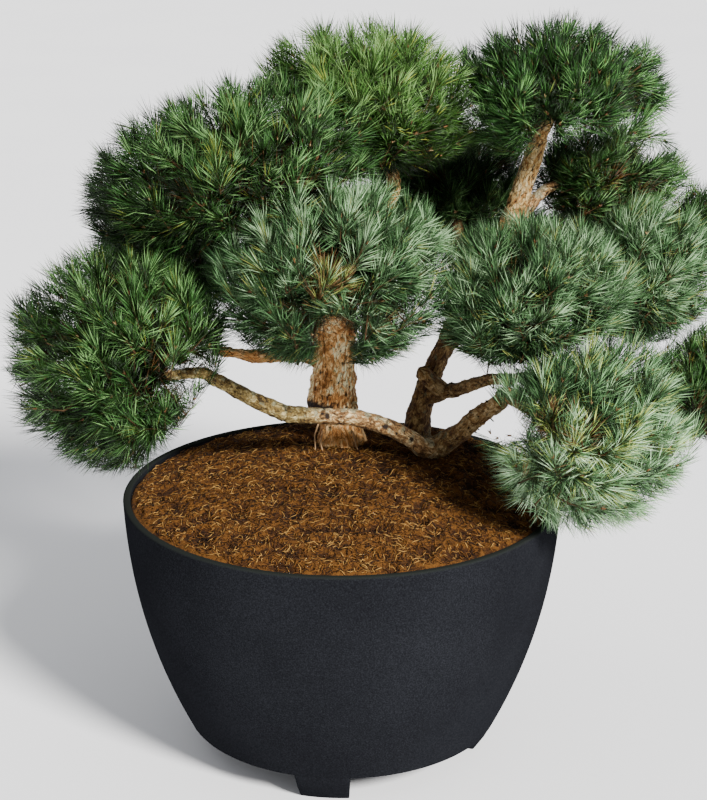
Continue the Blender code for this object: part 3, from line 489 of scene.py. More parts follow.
def make_pot():
    """The bowl, spun from its section, and its four feet."""
    bm = bmesh.new()
    heights = np.linspace(LIP_HEIGHT, POT_HEIGHT - RIM_ROUNDING, SIDE_LEVELS)
    outer = [(side_radius(h), h) for h in heights]
    middle = RIM_RADIUS - RIM_ROUNDING
    rounding = [(middle + RIM_ROUNDING * math.cos(a), POT_HEIGHT - RIM_ROUNDING + RIM_ROUNDING * math.sin(a))
                for a in np.linspace(0, math.pi / 2, 5)[1:]]
    inside = RIM_RADIUS - WALL + RIM_ROUNDING
    rounding += [(inside - RIM_ROUNDING * math.sin(a), POT_HEIGHT - RIM_ROUNDING + RIM_ROUNDING * math.cos(a))
                 for a in np.linspace(0, math.pi / 2, 5)]
    inner = [(side_radius(h) - WALL, h) for h in reversed(heights[4:-1])]
    bottom = LIP_HEIGHT + FLOOR
    section = [(0, LIP_HEIGHT), *outer, *rounding, *inner, (side_radius(bottom) - WALL, bottom), (0, bottom)]
    corners = [bm.verts.new((r, 0, h)) for r, h in section]
    edges = [bm.edges.new(pair) for pair in zip(corners, corners[1:])]
    bmesh.ops.spin(bm, geom=[*corners, *edges], cent=(0, 0, 0), axis=(0, 0, 1), angle=2 * math.pi,
                   steps=POT_STEPS, use_merge=True)
    bmesh.ops.remove_doubles(bm, verts=bm.verts, dist=0.00001)
    bmesh.ops.recalc_face_normals(bm, faces=bm.faces)
    for number in range(len(FEET)):
        add_foot(bm, FRONT_FOOT_TURN + 2 * math.pi * number / len(FEET))
    mesh = mesh_from(bm, "pot_bowl", [moulded_polyethylene()])
    mesh.set_sharp_from_angle(angle=math.radians(40))
    return finish_piece("pot_bowl", mesh, ["pot", *FEET])


def add_foot(bm, azimuth):
    """One foot, swept round the pot's axis from its section, its edges rounded."""
    before = set(bm.verts)
    outer = LIP_RADIUS - FOOT_SETBACK
    section = [(outer, LIP_HEIGHT + FOOT_SINK), (outer - FOOT_DEPTH, LIP_HEIGHT + FOOT_SINK),
               (FOOT_RADIUS - FOOT_DEPTH, 0.0), (FOOT_RADIUS, 0.0),
               (0.5 * (outer + FOOT_RADIUS) + FOOT_BULGE, 0.5 * LIP_HEIGHT), (outer, LIP_HEIGHT)]
    turn = Matrix.Rotation(azimuth - FOOT_SPAN / 2, 3, "Z")
    face = bm.faces.new([bm.verts.new(turn @ Vector((r, 0, h))) for r, h in section])
    bmesh.ops.spin(bm, geom=[face, *face.edges, *face.verts], cent=(0, 0, 0), axis=(0, 0, 1),
                   angle=FOOT_SPAN, steps=FOOT_STEPS)
    faces = {f for v in set(bm.verts) - before for f in v.link_faces}
    bmesh.ops.recalc_face_normals(bm, faces=list(faces))
    edges = {e for f in faces for e in f.edges if len(e.link_faces) == 2 and e.calc_face_angle(0) > 0.6}
    bmesh.ops.bevel(bm, geom=list(edges), offset=FOOT_ROUNDING, segments=2, profile=0.5, affect="EDGES",
                    material=-1)


def soil_height(x, y):
    """Height of the heaped soil, level round the trunks and falling away to the wall."""
    ray = Vector((x, y)) - MOUND_CENTRE
    reach = side_radius(SOIL_EDGE) - WALL
    if ray.length < 0.001:
        return GROUND
    along = MOUND_CENTRE.dot(ray.normalized())
    to_wall = -along + math.sqrt(max(along ** 2 + reach ** 2 - MOUND_CENTRE.length_squared, 0))
    share = min(ray.length / to_wall, 1.0)
    swell = min(MOUND_SWELL * (1 - share ** 2), 1.0)
    return SOIL_EDGE + (GROUND - SOIL_EDGE) * swell


def soil_relief(x, y):
    """Clumps and crumbs on the heap, both as rounded crowns with sharp hollows between them."""
    place = Vector((x, y, 0.0))
    drift = noise.noise_vector(place / CLUMP_SIZE) * CRUMB_SIZE
    clump = 0.45 - abs(noise.noise((place + drift) / CLUMP_SIZE)) * 1.4
    crumb = 0.40 - abs(noise.fractal((place + drift) / CRUMB_SIZE, 1.0, 2.0, 3)) * 1.2
    return clump * CLUMP_HEIGHT + crumb * CRUMB_HEIGHT


def make_soil():
    """The heaped coir: a grid drawn into a disc and raised in clumps, over a skirt that meets the wall."""
    bm = bmesh.new()
    crown = bm.verts.layers.float.new("crown")
    reach = side_radius(SOIL_EDGE) - WALL - SOIL_CLEARANCE
    bmesh.ops.create_grid(bm, x_segments=SOIL_CELLS, y_segments=SOIL_CELLS, size=1.0)
    for vertex in bm.verts:
        x, y = vertex.co.x, vertex.co.y
        disc = Vector((x * math.sqrt(1 - y * y / 2), y * math.sqrt(1 - x * x / 2), 0)) * reach
        edge = min((1 - min(disc.length / reach, 1)) * 20 + 0.2, 1)
        relief = soil_relief(disc.x, disc.y)
        vertex.co = (disc.x, disc.y, soil_height(disc.x, disc.y) + relief * edge)
        # Painted shade and light: how high a place stands in the clumps, which darkens the soil's colour in hollows
        # and pales it on crowns
        vertex[crown] = 0.5 + relief / (CLUMP_HEIGHT + CRUMB_HEIGHT)
    rim = [e for e in bm.edges if e.is_boundary]
    skirt = bmesh.ops.extrude_edge_only(bm, edges=rim)["geom"]
    for vertex in skirt:
        if isinstance(vertex, bmesh.types.BMVert):
            vertex.co.z = SOIL_EDGE - SOIL_SKIRT
            vertex.co.xy *= (side_radius(SOIL_EDGE - SOIL_SKIRT) - WALL - SOIL_CLEARANCE) / reach
    bmesh.ops.holes_fill(bm, edges=[e for e in bm.edges if e.is_boundary])
    bmesh.ops.recalc_face_normals(bm, faces=bm.faces)
    mesh = mesh_from(bm, "coir_heap", [coir()])
    return finish_piece("coir_heap", mesh, ["soil"])


def unit(rows):
    return rows / np.linalg.norm(rows, axis=-1, keepdims=True)


def joined(name, corners, pattern, tones, materials, smooth=False):
    """One mesh of many copies of a small closed shape, each in the material of its tone."""
    count, each = corners.shape[:2]
    faces = (each * np.arange(count)[:, None, None] + pattern).reshape(-1, 3)
    mesh = bpy.data.meshes.new(name)
    mesh.vertices.add(count * each)
    mesh.vertices.foreach_set("co", corners.astype(np.float32).ravel())
    mesh.loops.add(faces.size)
    mesh.loops.foreach_set("vertex_index", faces.astype(np.int32).ravel())
    mesh.polygons.add(len(faces))
    mesh.polygons.foreach_set("loop_start", np.arange(0, faces.size, 3, dtype=np.int32))
    mesh.polygons.foreach_set("material_index", np.repeat(tones, len(pattern)).astype(np.int32))
    mesh.update(calc_edges=True)
    for material in materials:
        mesh.materials.append(material)
    if smooth:
        mesh.shade_smooth()
    return mesh


def strands(paths, radii, sides):
    """Corners and faces of closed strands: a ring at each knot of a path but the last, which is the tip."""
    count, knots = paths.shape[:2]
    along = unit(np.gradient(paths, axis=1))
    slant = unit(np.cross(along[:, 0], np.array([0.31, 0.83, 0.47])))[:, None]
    side = unit(slant - along * (slant * along).sum(axis=2, keepdims=True))
    other = np.cross(along, side)
    turns = 2 * math.pi * np.arange(sides) / sides
    ring = np.cos(turns)[:, None] * side[:, :-1, None] + np.sin(turns)[:, None] * other[:, :-1, None]
    rings = paths[:, :-1, None] + ring * radii[:, :-1, None, None]
    corners = np.concatenate([rings.reshape(count, -1, 3), paths[:, -1:]], axis=1)
    tip = (knots - 1) * sides
    pattern = [(0, k + 1, k) for k in range(1, sides - 1)]
    for low in range(0, tip - sides, sides):
        for k in range(sides):
            following = (k + 1) % sides
            pattern.append((low + k, low + following, low + following + sides))
            pattern.append((low + k, low + following + sides, low + k + sides))
    pattern += [(tip - sides + k, tip - sides + (k + 1) % sides, tip) for k in range(sides)]
    return corners, np.array(pattern)


def make_fibres():
    """Loose coir fibres that lie and curl every way on the heap."""
    reach = side_radius(SOIL_EDGE) - WALL - 0.014
    finishes = [living_skin(f"coir_fibre_{i}", colour, 1.4, 0.8)
                for i, colour in enumerate(("150801", "341c05", "5d3a0f", "8c6a36"))]
    for number in range(FIBRE_PIECES):
        rng = np.random.default_rng(SEED + 1 + number)
        count = FIBRES_A_PIECE
        radius = reach * np.sqrt(rng.random(count))
        around = rng.random(count) * 2 * math.pi
        heading = rng.random(count) * 2 * math.pi
        lengths = rng.uniform(*FIBRE_LENGTH, count)
        knots = [np.stack([radius * np.cos(around), radius * np.sin(around)], axis=1)]
        for _ in range(FIBRE_KNOTS - 1):
            step = np.stack([np.cos(heading), np.sin(heading)], axis=1) * (lengths / (FIBRE_KNOTS - 1))[:, None]
            knots.append(knots[-1] + step)
            heading = heading + rng.normal(0, 0.55, count)
        flat = np.stack(knots, axis=1)
        flat = flat[np.hypot(flat[..., 0], flat[..., 1]).max(axis=1) < reach]
        heights = np.array([[soil_height(x, y) + soil_relief(x, y) for x, y in row] for row in flat])
        arch = np.array([0.0, 1.0, 0.9, 0.3]) * FIBRE_ARCH
        lift = 0.001 + rng.random(len(flat))[:, None] * arch + rng.normal(0, 0.0012, heights.shape)
        paths = np.concatenate([flat, (heights + lift)[..., None]], axis=2)
        widths = rng.uniform(*FIBRE_WIDTH, len(flat)) / 2
        radii = widths[:, None] * np.array([0.7, 1.0, 0.8, 0.0])
        corners, pattern = strands(paths, radii, 3)
        tones = rng.choice(4, len(flat), p=[0.24, 0.30, 0.32, 0.14])
        mesh = joined(f"coir_fibres_{number}", corners, pattern, tones, finishes)
        finish_piece(f"coir_fibres_{number}", mesh, [])


def smooth_line(points, steps):
    """A smooth line through points that hold x, y, z and radius."""
    knots = [Vector(point) for point in points]
    knots = [2 * knots[0] - knots[1], *knots, 2 * knots[-1] - knots[-2]]
    line = []
    for before, start, end, after in zip(knots, knots[1:], knots[2:], knots[3:]):
        for step in range(steps):
            t = step / steps
            bend = 2 * before - 5 * start + 4 * end - after
            twist = 3 * start - before - 3 * end + after
            line.append(0.5 * (2 * start + (end - before) * t + bend * t ** 2 + twist * t ** 3))
    line.append(knots[-2])
    return line


def stations(line, spacing):
    """Evenly spaced places on a line: middle, radius, distance, and two directions across."""
    points = [knot.xyz for knot in line]
    lengths = [0.0]
    for a, b in zip(points, points[1:]):
        lengths.append(lengths[-1] + (b - a).length)
    count = max(int(lengths[-1] / spacing), 4)
    side = None
    places = []
    index = 0
    for k in range(count + 1):
        s = lengths[-1] * k / count
        while index < len(points) - 2 and lengths[index + 1] < s:
            index += 1
        t = (s - lengths[index]) / max(lengths[index + 1] - lengths[index], 1e-9)
        knot = line[index].lerp(line[index + 1], t)
        along = (points[index + 1] - points[index]).normalized()
        if side is None:
            side = along.orthogonal().normalized()
        side = (side - along * side.dot(along)).normalized()
        places.append((knot.xyz, knot.w, s, side.copy(), along.cross(side)))
    return places


def ease(value, start, end):
    """0 before start, 1 after end, and smooth between them."""
    t = min(max((value - start) / (end - start), 0.0), 1.0)
    return t * t * (3 - 2 * t)


def swelling(name, middle, arm, along, collar):
    """How much thicker than its line a limb is at a place: root flare, branch collar and low lumps."""
    scale = 1 + LUMP_SHARE_OF_RADIUS * noise.fractal((middle + arm * 0.03) / 0.045, 1.0, 2.0, 2)
    if name == "trunk_right":
        scale -= WAIST[2] * math.exp(-((middle.z - WAIST[0]) / WAIST[1]) ** 2)
    if collar:
        scale += COLLAR_SWELL * math.exp(-max(along - collar, 0) / COLLAR_REACH)
    if name in LIMBS and LIMBS[name][0] is None:
        above = (middle.z - GROUND) / FLARE_HEIGHT
        if above < 1:
            ridge = 0.7 + 0.3 * math.cos(ROOT_RIDGES * math.atan2(arm.y, arm.x))
            scale += FLARE * ridge * (1 - max(above, 0)) ** 2
    return scale


def bark_at(name, kind, rolled, place, arm):
    """Relief in metres, and the crack, tone, youth and lichen values, at a place on a limb's bark."""
    width, length, depth = BARK_RELIEF[kind]
    warp = noise.noise_vector(rolled / 0.030) * 0.8
    cell = Vector((rolled.x / width, rolled.y / width, rolled.z / length)) + warp
    spots, cells = noise.voronoi(cell)
    chance = noise.cell_vector(cells[0] * 7)
    gap = min((spots[1] - spots[0]) * 1.9, 1.0)
    shreds = noise.fractal(Vector((rolled.x / 0.006, rolled.y / 0.006, rolled.z / 0.014)), 1.0, 2.0, 2)
    patch = noise.fractal(rolled / 0.045, 1.0, 2.0, 3)
    relief = depth * (gap * (0.35 + 0.65 * abs(chance.x)) + 0.30 * shreds - 0.55)
    crack = 1.25 * gap + 0.35 * abs(chance.z) + 0.35 * shreds
    tone = 0.08 + 0.16 * abs(chance.y) + 0.16 * patch + 0.10 * shreds
    coordinate, start, end = TURNS_YOUNG.get(name, (2, 9.0, 10.0))
    sign = 1 if end > start else -1
    youth = ease(sign * place[coordinate], sign * start, sign * end)
    foot = LICHEN_AT_FOOT.get(name, 0.0) * math.exp(-max(place.z - GROUND - 0.02, 0) / 0.05)
    lichen = 0.24 + 0.55 * noise.fractal(rolled / 0.022, 1.0, 2.0, 3) + 0.30 * arm.z + foot
    for x, y, z, size in KNOTS:
        away = (place - Vector((x, y, z))).length / size
        if away < 3:
            relief += 0.0022 * math.exp(-((away - 1.1) / 0.35) ** 2) - 0.0018 * math.exp(-away ** 2)
            crack *= ease(away, 0.35, 0.95)
    if name == "trunk_left":
        youth = max(youth, ease(LEDGE - place.z, -0.004, 0.004))
        relief += LEDGE_STEP * math.tanh((place.z - LEDGE) / LEDGE_EDGE) * math.exp(-abs(place.z - LEDGE) / 0.03)
        # Painted shade: the dark crack colour spreads over a band below the ledge, most on the left side, away from
        # the light
        side = 0.55 + 0.45 * ease(-arm.x, -0.7, 0.3)
        crack *= 1 - side * math.exp(-((place.z - LEDGE_SHADE_BAND[0]) / LEDGE_SHADE_BAND[1]) ** 2)
    return relief, (crack, tone, youth, lichen)


def barked_limb(name, line, kind, collar):
    """A limb bent out of a grid round its middle line, sewn up, with its bark raised in flakes."""
    places = stations(line, BARK_CELL)
    last = len(places) - 1
    sides = round(2 * math.pi * max(place[1] for place in places) / BARK_CELL)
    bm = bmesh.new()
    bmesh.ops.create_grid(bm, x_segments=sides, y_segments=last, size=1.0)
    layers = [bm.verts.layers.float.new(key) for key in ("crack", "tone", "youth", "lichen")]
    post = bm.verts.layers.float_vector.new("post")
    total = places[-1][2]
    for vertex in bm.verts:
        angle = math.pi * (vertex.co.x + 1)
        middle, radius, along, side, other = places[round((vertex.co.y + 1) / 2 * last)]
        arm = math.cos(angle) * side + math.sin(angle) * other
        rolled = Vector((math.cos(angle) * radius, math.sin(angle) * radius, along))
        surface = radius * swelling(name, middle, arm, along, collar)
        if name == "stub":
            surface *= math.sqrt(max(1 - (1 - min((total - along) / radius, 1)) ** 2, 0.02))
        relief, values = bark_at(name, kind, rolled, middle + arm * surface, arm)
        vertex.co = middle + arm * (surface + relief)
        vertex[post] = rolled
        for layer, value in zip(layers, values):
            vertex[layer] = value
    bmesh.ops.remove_doubles(bm, verts=bm.verts, dist=0.00002)
    bmesh.ops.holes_fill(bm, edges=[e for e in bm.edges if e.is_boundary])
    bmesh.ops.recalc_face_normals(bm, faces=bm.faces)
    return bm


def collar_place(name):
    """How far along a bough its parent's surface lies."""
    parent, points = LIMBS[name]
    if not parent or name == "long_bough_reach":
        return 0.0
    root = Vector(points[0][:3])
    near = min(smooth_line(LIMBS[parent][1], LINE_STEPS), key=lambda k: (k.xyz - root).length)
    return near.w


def make_limbs():
    """The barked trunks, stems and boughs, and the sawn stub on the right trunk."""
    finishes = {
        "bark_orange": bark(
            "pine_bark_orange", 0.35, "1c0e05",
            [(0.36, "402311"), (0.50, "915b28"), (0.61, "c4884a"), (0.70, "edb975"), (0.82, "fff4c5")],
            [(0.36, "70411a"), (0.52, "b07237"), (0.66, "d29858"), (0.88, "eec891")], "647752"),
        "bark_dark": bark(
            "pine_bark_dark", 0.5, "0b0602",
            [(0.36, "150b05"), (0.50, "342010"), (0.61, "50351b"), (0.72, "6d502c"), (0.88, "9a7e50")],
            [(0.36, "4a2a12"), (0.50, "7c5027"), (0.61, "a07842"), (0.72, "b89a64"), (0.88, "d2bc90")],
            "59604a"),
        "bark_pale": bark(
            "pine_bark_pale", 0.7, "1c1007",
            [(0.36, "1e1106"), (0.50, "513416"), (0.61, "785734"), (0.72, "99784c"), (0.86, "ccb589")],
            [(0.36, "181004"), (0.50, "473517"), (0.61, "705b30"), (0.72, "917c49"), (0.88, "c4b480")],
            "7e836c"),
    }
    lines = {name: (smooth_line(points, LINE_STEPS), collar_place(name)) for name, (_, points) in LIMBS.items()}
    lines["stub"] = (smooth_line(STUB, LINE_STEPS), 0.0)
    for name, (line, collar) in lines.items():
        kind = BARK_OF.get(name, "bark_pale")
        mesh = mesh_from(barked_limb(name, line, kind, collar), f"bark_{name}", [finishes[kind]])
        finish_piece(f"bark_{name}", mesh, [name] if name in LIMBS else [])
    return finishes


def make_spurs_and_rootlets():
    """Dead spurs on the dark boughs, and thin pale roots at the left trunk's foot."""
    rng = np.random.default_rng(SEED + 9)
    paths = []
    for name in ("right_bough", "front_stem", "trunk_right", "left_bough"):
        line = smooth_line(LIMBS[name][1], LINE_STEPS)
        for _ in range(SPUR_COUNT // 4):
            pick = rng.integers(len(line) // 4, len(line) - 2)
            knot, following = line[pick], line[pick + 1]
            forward = (following.xyz - knot.xyz).normalized()
            arm = Vector(rng.normal(size=3)).cross(forward).normalized()
            root = knot.xyz + arm * knot.w * 0.9
            tip = root + (arm + forward * 0.4).normalized() * rng.uniform(*SPUR_LENGTH)
            paths.append([root, root.lerp(tip, 0.5), root.lerp(tip, 0.8), tip])
    spurs = np.array(paths, dtype=float)
    corners, pattern = strands(spurs, np.full(spurs.shape[:2], 0.0022), 5)
    finish = living_skin("dead_wood", "2a1b0f", 1.6, 0.9)
    mesh = joined("dead_spurs", corners, pattern, np.zeros(len(spurs)), [finish])
    finish_piece("dead_spurs", mesh, [])
    roots = np.array(ROOTLETS)
    corners, pattern = strands(roots, np.array([[0.0032, 0.0024, 0.0020, 0.0]] * len(roots)), 6)
    finish = living_skin("root_skin", "9c7c58", 1.3, 0.7)
    mesh = joined("rootlets", corners, pattern, np.zeros(len(roots)), [finish], True)
    finish_piece("rootlets", mesh, [])


class Space:
    """The egg-shaped space that one pad keeps to, for many points at once."""

    def __init__(self, name):
        self.name = name
        self.feed, centre, half, tip_up, self.kind = PADS[name]
        self.centre = np.array(centre)
        self.half = np.array(half)
        self.turn = np.array(Matrix.Rotation(-math.radians(tip_up), 3, "Y"))
        self.tones = TONES_OF.get(name, self.kind)
        self.hub = self.out_to(np.array([[0.0, 0.0, -1.0]]), HUB_DROP)[0]
        self.focus = self.hub + (limb_end(self.feed)[0] - self.hub) * TURN_TO_LIMB
        self.focus[1] = self.centre[1] - self.half[1] * FORWARD

    def out_to(self, directions, shares):
        """Places at these shares of the way from the middle to the space's edge."""
        stretched = directions * self.half * np.reshape(shares, (-1, 1) if np.ndim(shares) else ())
        return self.centre + stretched @ self.turn.T

    def shares(self, places):
        """Places measured from the middle, with the space's edge at 1."""
        return (places - self.centre) @ self.turn / self.half

    def reach(self, places):
        """How far out places lie: 0 in the middle, 1 on the edge."""
        return np.sqrt((self.shares(places) ** 2).sum(axis=1))

    def whole(self, places):
        """Which places lie outside the opening in front of a limb, and above a flat underside."""
        good = np.full(len(places), True)
        if self.name in OPEN_BEFORE:
            start, end, width = OPEN_BEFORE[self.name]
            flat = np.eye(3) - np.outer(TO_FRONT, TO_FRONT)
            run = (np.array(end) - start) @ flat
            offset = (places - start) @ flat
            along = np.clip(offset @ run / (run @ run), 0, 1)
            away = np.linalg.norm(offset - along[:, None] * run, axis=1)
            good &= (away > width) | ((places - start) @ TO_FRONT < -0.03)
        if self.name in CUT_BELOW:
            left, right = CUT_BELOW[self.name]
            inside = self.shares(places)
            turn = np.clip((inside[:, 0] + 0.5) / 0.6, 0, 1)
            good &= inside[:, 2] > left + (right - left) * turn
        if self.name in OPEN_THROUGH:
            across, up, wide = OPEN_THROUGH[self.name]
            inside = self.shares(places)
            upward = inside @ np.cross(np.array([1.0, 0.0, 0.0]), TO_FRONT)
            good &= np.hypot(inside[:, 0] - across, upward - up) > wide
        if self.name in CUT_BACK:
            way, far = CUT_BACK[self.name]
            good &= self.shares(places) @ np.array(way) < far
        return good

    def worn(self, directions):
        """Which directions lead to where the pad is worn."""
        if self.name not in WORN:
            return np.full(len(directions), False)
        way, wide = WORN[self.name]
        return np.linalg.norm(directions - np.array(way), axis=1) < wide

    def area(self):
        a, b, c = self.half
        power = 1.6
        mean = ((a * b) ** power + (a * c) ** power + (b * c) ** power) / 3
        return 4 * math.pi * mean ** (1 / power)


def limb_balls():
    rows = [(*knot.xyz, knot.w) for _, points in LIMBS.values() for knot in smooth_line(points, 6)]
    return np.array(rows)


def free(places, own, spaces, balls, edge=1.0, share=1.0):
    """Which of a pad's points keep to its own space and off the limbs, the soil and the pot. With a share
    under 1 they may mingle with a neighbour's fringe."""
    mine = own.reach(places)
    good = mine < edge
    for other in spaces:
        if other is not own and np.linalg.norm(other.centre - own.centre) < 1.3:
            good &= other.reach(places) > mine * share + NEIGHBOUR_MARGIN * (share == 1.0)
    for ball in balls:
        if np.linalg.norm(ball[:3] - own.centre) < 0.55:
            good &= ((places - ball[:3]) ** 2).sum(axis=1) > (ball[3] + LIMB_CLEARANCE) ** 2
    out = np.hypot(places[:, 0], places[:, 1])
    good &= (out > RIM_RADIUS + 0.012) | (places[:, 2] > GROUND + 0.02)
    low, high = (np.array(corner - POT_AXIS) for corner in cad_box)
    return good & ((places > low - PROUD) & (places < high + PROUD)).all(axis=1)


def spiral(count, rng):
    """Directions spread evenly over a ball, a little shaken."""
    golden = math.pi * (3 - math.sqrt(5))
    i = np.arange(count)
    height = 1 - 2 * (i + 0.5) / count + rng.uniform(-1, 1, count) / count
    height = np.clip(height, -1, 1)
    ring = np.sqrt(1 - height ** 2)
    turn = golden * i + rng.uniform(-0.3, 0.3, count)
    return np.stack([ring * np.cos(turn), ring * np.sin(turn), height], axis=1)


def thinned(own, directions, rng):
    """Which directions keep their shoots on a pad that is thin on one side."""
    if own.name not in THIN_SIDE:
        return np.full(len(directions), True)
    side, left_out = THIN_SIDE[own.name]
    facing = np.clip((directions @ np.array(side) - 0.40) / 0.3, 0, 1)
    return rng.random(len(directions)) > left_out * facing


def plant_shoots(own, spaces, balls, rng):
    """Where a pad's shoots end, where they point and in which shell they stand."""
    ends, axes, shells = [], [], []
    for shell, (share, density) in enumerate(SHELLS):
        directions = spiral(round(density * own.area() * share ** 2 * AIRY.get(own.name, 1.0)), rng)
        directions = directions[thinned(own, directions, rng)]
        worn = own.worn(directions)
        kept = ~worn | (rng.random(len(directions)) > WORN_LEFT_OUT)
        directions, worn = directions[kept], worn[kept]
        lumps = np.array([noise.noise(Vector(place) / LUMP_SIZE) for place in own.out_to(directions, 1.0)])
        uneven = LUMP_SHARE * np.minimum(lumps, 0.2) - TIP_JITTER * np.abs(rng.normal(size=len(lumps)))
        tips = own.out_to(directions, share * (TIP_SHARE + uneven))
        sweep = np.array([noise.noise_vector(Vector(place) / SWEEP_SIZE) for place in tips]) * SWEEP
        ways = unit(unit(tips - own.focus + UPWARD) + sweep + rng.normal(0, AXIS_SPREAD, tips.shape))
        ends.append(tips - ways * NEEDLE_LENGTH)
        axes.append(ways)
        shells.append(np.where(worn, len(SHELLS), shell))
    ends, axes, shells = (np.concatenate(rows) for rows in (ends, axes, shells))
    good = free(ends, own, spaces, balls) & own.whole(ends + axes * NEEDLE_LENGTH)
    return ends[good], axes[good], shells[good]


def needle_tones(own, owner, ends, shells, rng):
    """A tone for each needle: lighter high on the pad as painted light, close to its spray's, and yellow for a few;
    inner needles take near-black tones as painted shade.
    """
    # Painted light: needles high on the pad get lighter tones
    lift = np.clip((ends[:, 2] - own.centre[2]) / own.half[2], -1, 1)
    spray = rng.random(len(ends))
    value = (PAINTED_TOP_LIGHT.get(own.tones, 0.30) * lift + 0.40 * spray)[owner] + 0.55 * rng.random(len(owner))
    order = np.argsort(np.argsort(value)) / max(len(owner) - 1, 1)
    shares = np.cumsum([share for _, share in NEEDLE_TONES[own.tones]], dtype=float)
    tones = np.searchsorted(shares / shares[-1], order * 0.999)
    yellow, old, shed = len(shares), len(shares) + 1, len(shares) + 2
    chance = YELLOW_SHARES[own.tones] * (0.5 + 3 * (spray > 0.85)) + 0.2 * (spray > 0.99)
    tones = np.where(rng.random(len(owner)) < chance[owner], yellow, tones)
    draw = rng.random(len(owner))
    # Inner needles: near-black painted shade (the darkest tone and the old tone), with some brown shed ones
    inner_tones = np.where(draw < 0.45, 0, np.where(draw < 1 - BROWN_SHARE, old, shed))
    worn_tones = np.where(draw < 0.30, tones, np.where(draw < 0.52, yellow, shed))
    shell = shells[owner]
    return np.where(shell == 0, tones, np.where(shell == len(SHELLS), worn_tones, inner_tones))


NEEDLE_FACES = np.array([(0, 2, 1), (0, 3, 2), (0, 1, 3), (1, 2, 3)])


def needle_corners(roots, ways, lengths, widths, rng):
    """Needles as slim four-cornered darts: root, tip and two shoulders half-way along."""
    side = unit(np.cross(ways, rng.normal(size=ways.shape)))
    back = np.cross(ways, side) * (0.45 * widths)[:, None]
    middle = roots + ways * (0.5 * lengths)[:, None]
    spread = side * (widths / 2)[:, None]
    tips = roots + ways * lengths[:, None]
    return np.stack([roots, tips, middle + spread + back, middle - spread + back], axis=1)


def grow_needles(own, shoots, spaces, balls, rng, finishes):
    """Needles in pairs round each shoot, wide open at its base and closing towards its tip."""
    ends, axes, shells = shoots
    count = len(ends)
    step = np.tile(np.arange(PAIRS_A_SHOOT), count)
    owner = np.repeat(np.arange(count), PAIRS_A_SHOOT)
    along = step / (PAIRS_A_SHOOT - 1)
    around = step * math.pi * (3 - math.sqrt(5)) + rng.normal(0, 0.35, len(step))
    lean = np.radians(LEAN_AT_BASE + (LEAN_AT_TIP - LEAN_AT_BASE) * along + rng.normal(0, 8, len(step)))
    shoot = axes[owner]
    side = unit(np.cross(shoot, rng.normal(size=(count, 3))[owner]))
    radial = np.cos(around)[:, None] * side + np.sin(around)[:, None] * np.cross(shoot, side)
    base = ends[owner] - shoot * ((1 - along) * SHOOT_LENGTH)[:, None]
    reach = NEEDLE_LENGTH * rng.uniform(0.72, 1.12, len(step))
    tone = needle_tones(own, owner, ends, shells, rng)
    parts = []
    for sign in (-1, 1):
        fork = lean + sign * PAIR_FORK
        way = np.cos(fork)[:, None] * shoot + np.sin(fork)[:, None] * radial
        way = unit(way + sign * 0.07 * np.cross(shoot, radial) + UPWARD * 0.4)
        parts.append((base, way, reach * rng.uniform(0.94, 1.0, len(step)), tone))
    roots, ways, lengths, tone = (np.concatenate(column) for column in zip(*parts))
    middles = roots + ways * lengths[:, None] * 0.5
    good = free(roots + ways * lengths[:, None], own, spaces, balls, NEEDLE_EDGE, MINGLE)
    good &= free(middles, own, spaces, balls, 1.0, MINGLE) & own.whole(middles)
    owners = np.tile(owner, 2)
    kept = np.bincount(owners[good], minlength=count) / (2 * PAIRS_A_SHOOT)
    good &= (kept > SPARSE)[owners]
    roots, ways, lengths, tone = roots[good], ways[good], lengths[good], tone[good]
    widths = NEEDLE_WIDTH * rng.uniform(0.8, 1.1, len(roots))
    short = own.name.replace("pad_", "")
    corners = needle_corners(roots, ways, lengths, widths, rng)
    mesh = joined(f"needles_{short}", corners, NEEDLE_FACES, tone, finishes[own.tones])
    finish_piece(f"needles_{short}", mesh, [own.name])
    return kept > LEAFY


def grow_buds(own, shoots, rng, finishes):
    """Resinous buds in a cluster at the tip of each outer shoot."""
    ends, axes, shells = shoots
    outer = np.flatnonzero(shells == 0)
    outer = np.repeat(outer[rng.random(len(outer)) < BUD_SHARE], BUDS_A_SHOOT)
    ways = unit(axes[outer] + rng.normal(0, 0.28, (len(outer), 3)))
    roots = ends[outer] - axes[outer] * 0.004
    lengths = rng.uniform(0.009, 0.019, len(outer))
    paths = np.stack([roots, roots + ways * lengths[:, None]], axis=1)
    widths = rng.uniform(0.0022, 0.0034, len(outer))
    corners, pattern = strands(paths, np.stack([widths, widths * 0], axis=1), 3)
    tones = rng.choice(3, len(outer), p=[0.45, 0.35, 0.20])
    short = own.name.replace("pad_", "")
    mesh = joined(f"buds_{short}", corners, pattern, tones, finishes)
    finish_piece(f"buds_{short}", mesh, [])


def limb_end(name):
    before, last = smooth_line(LIMBS[name][1], LINE_STEPS)[-2:]
    return np.array(last.xyz), np.array((last.xyz - before.xyz).normalized()), last.w


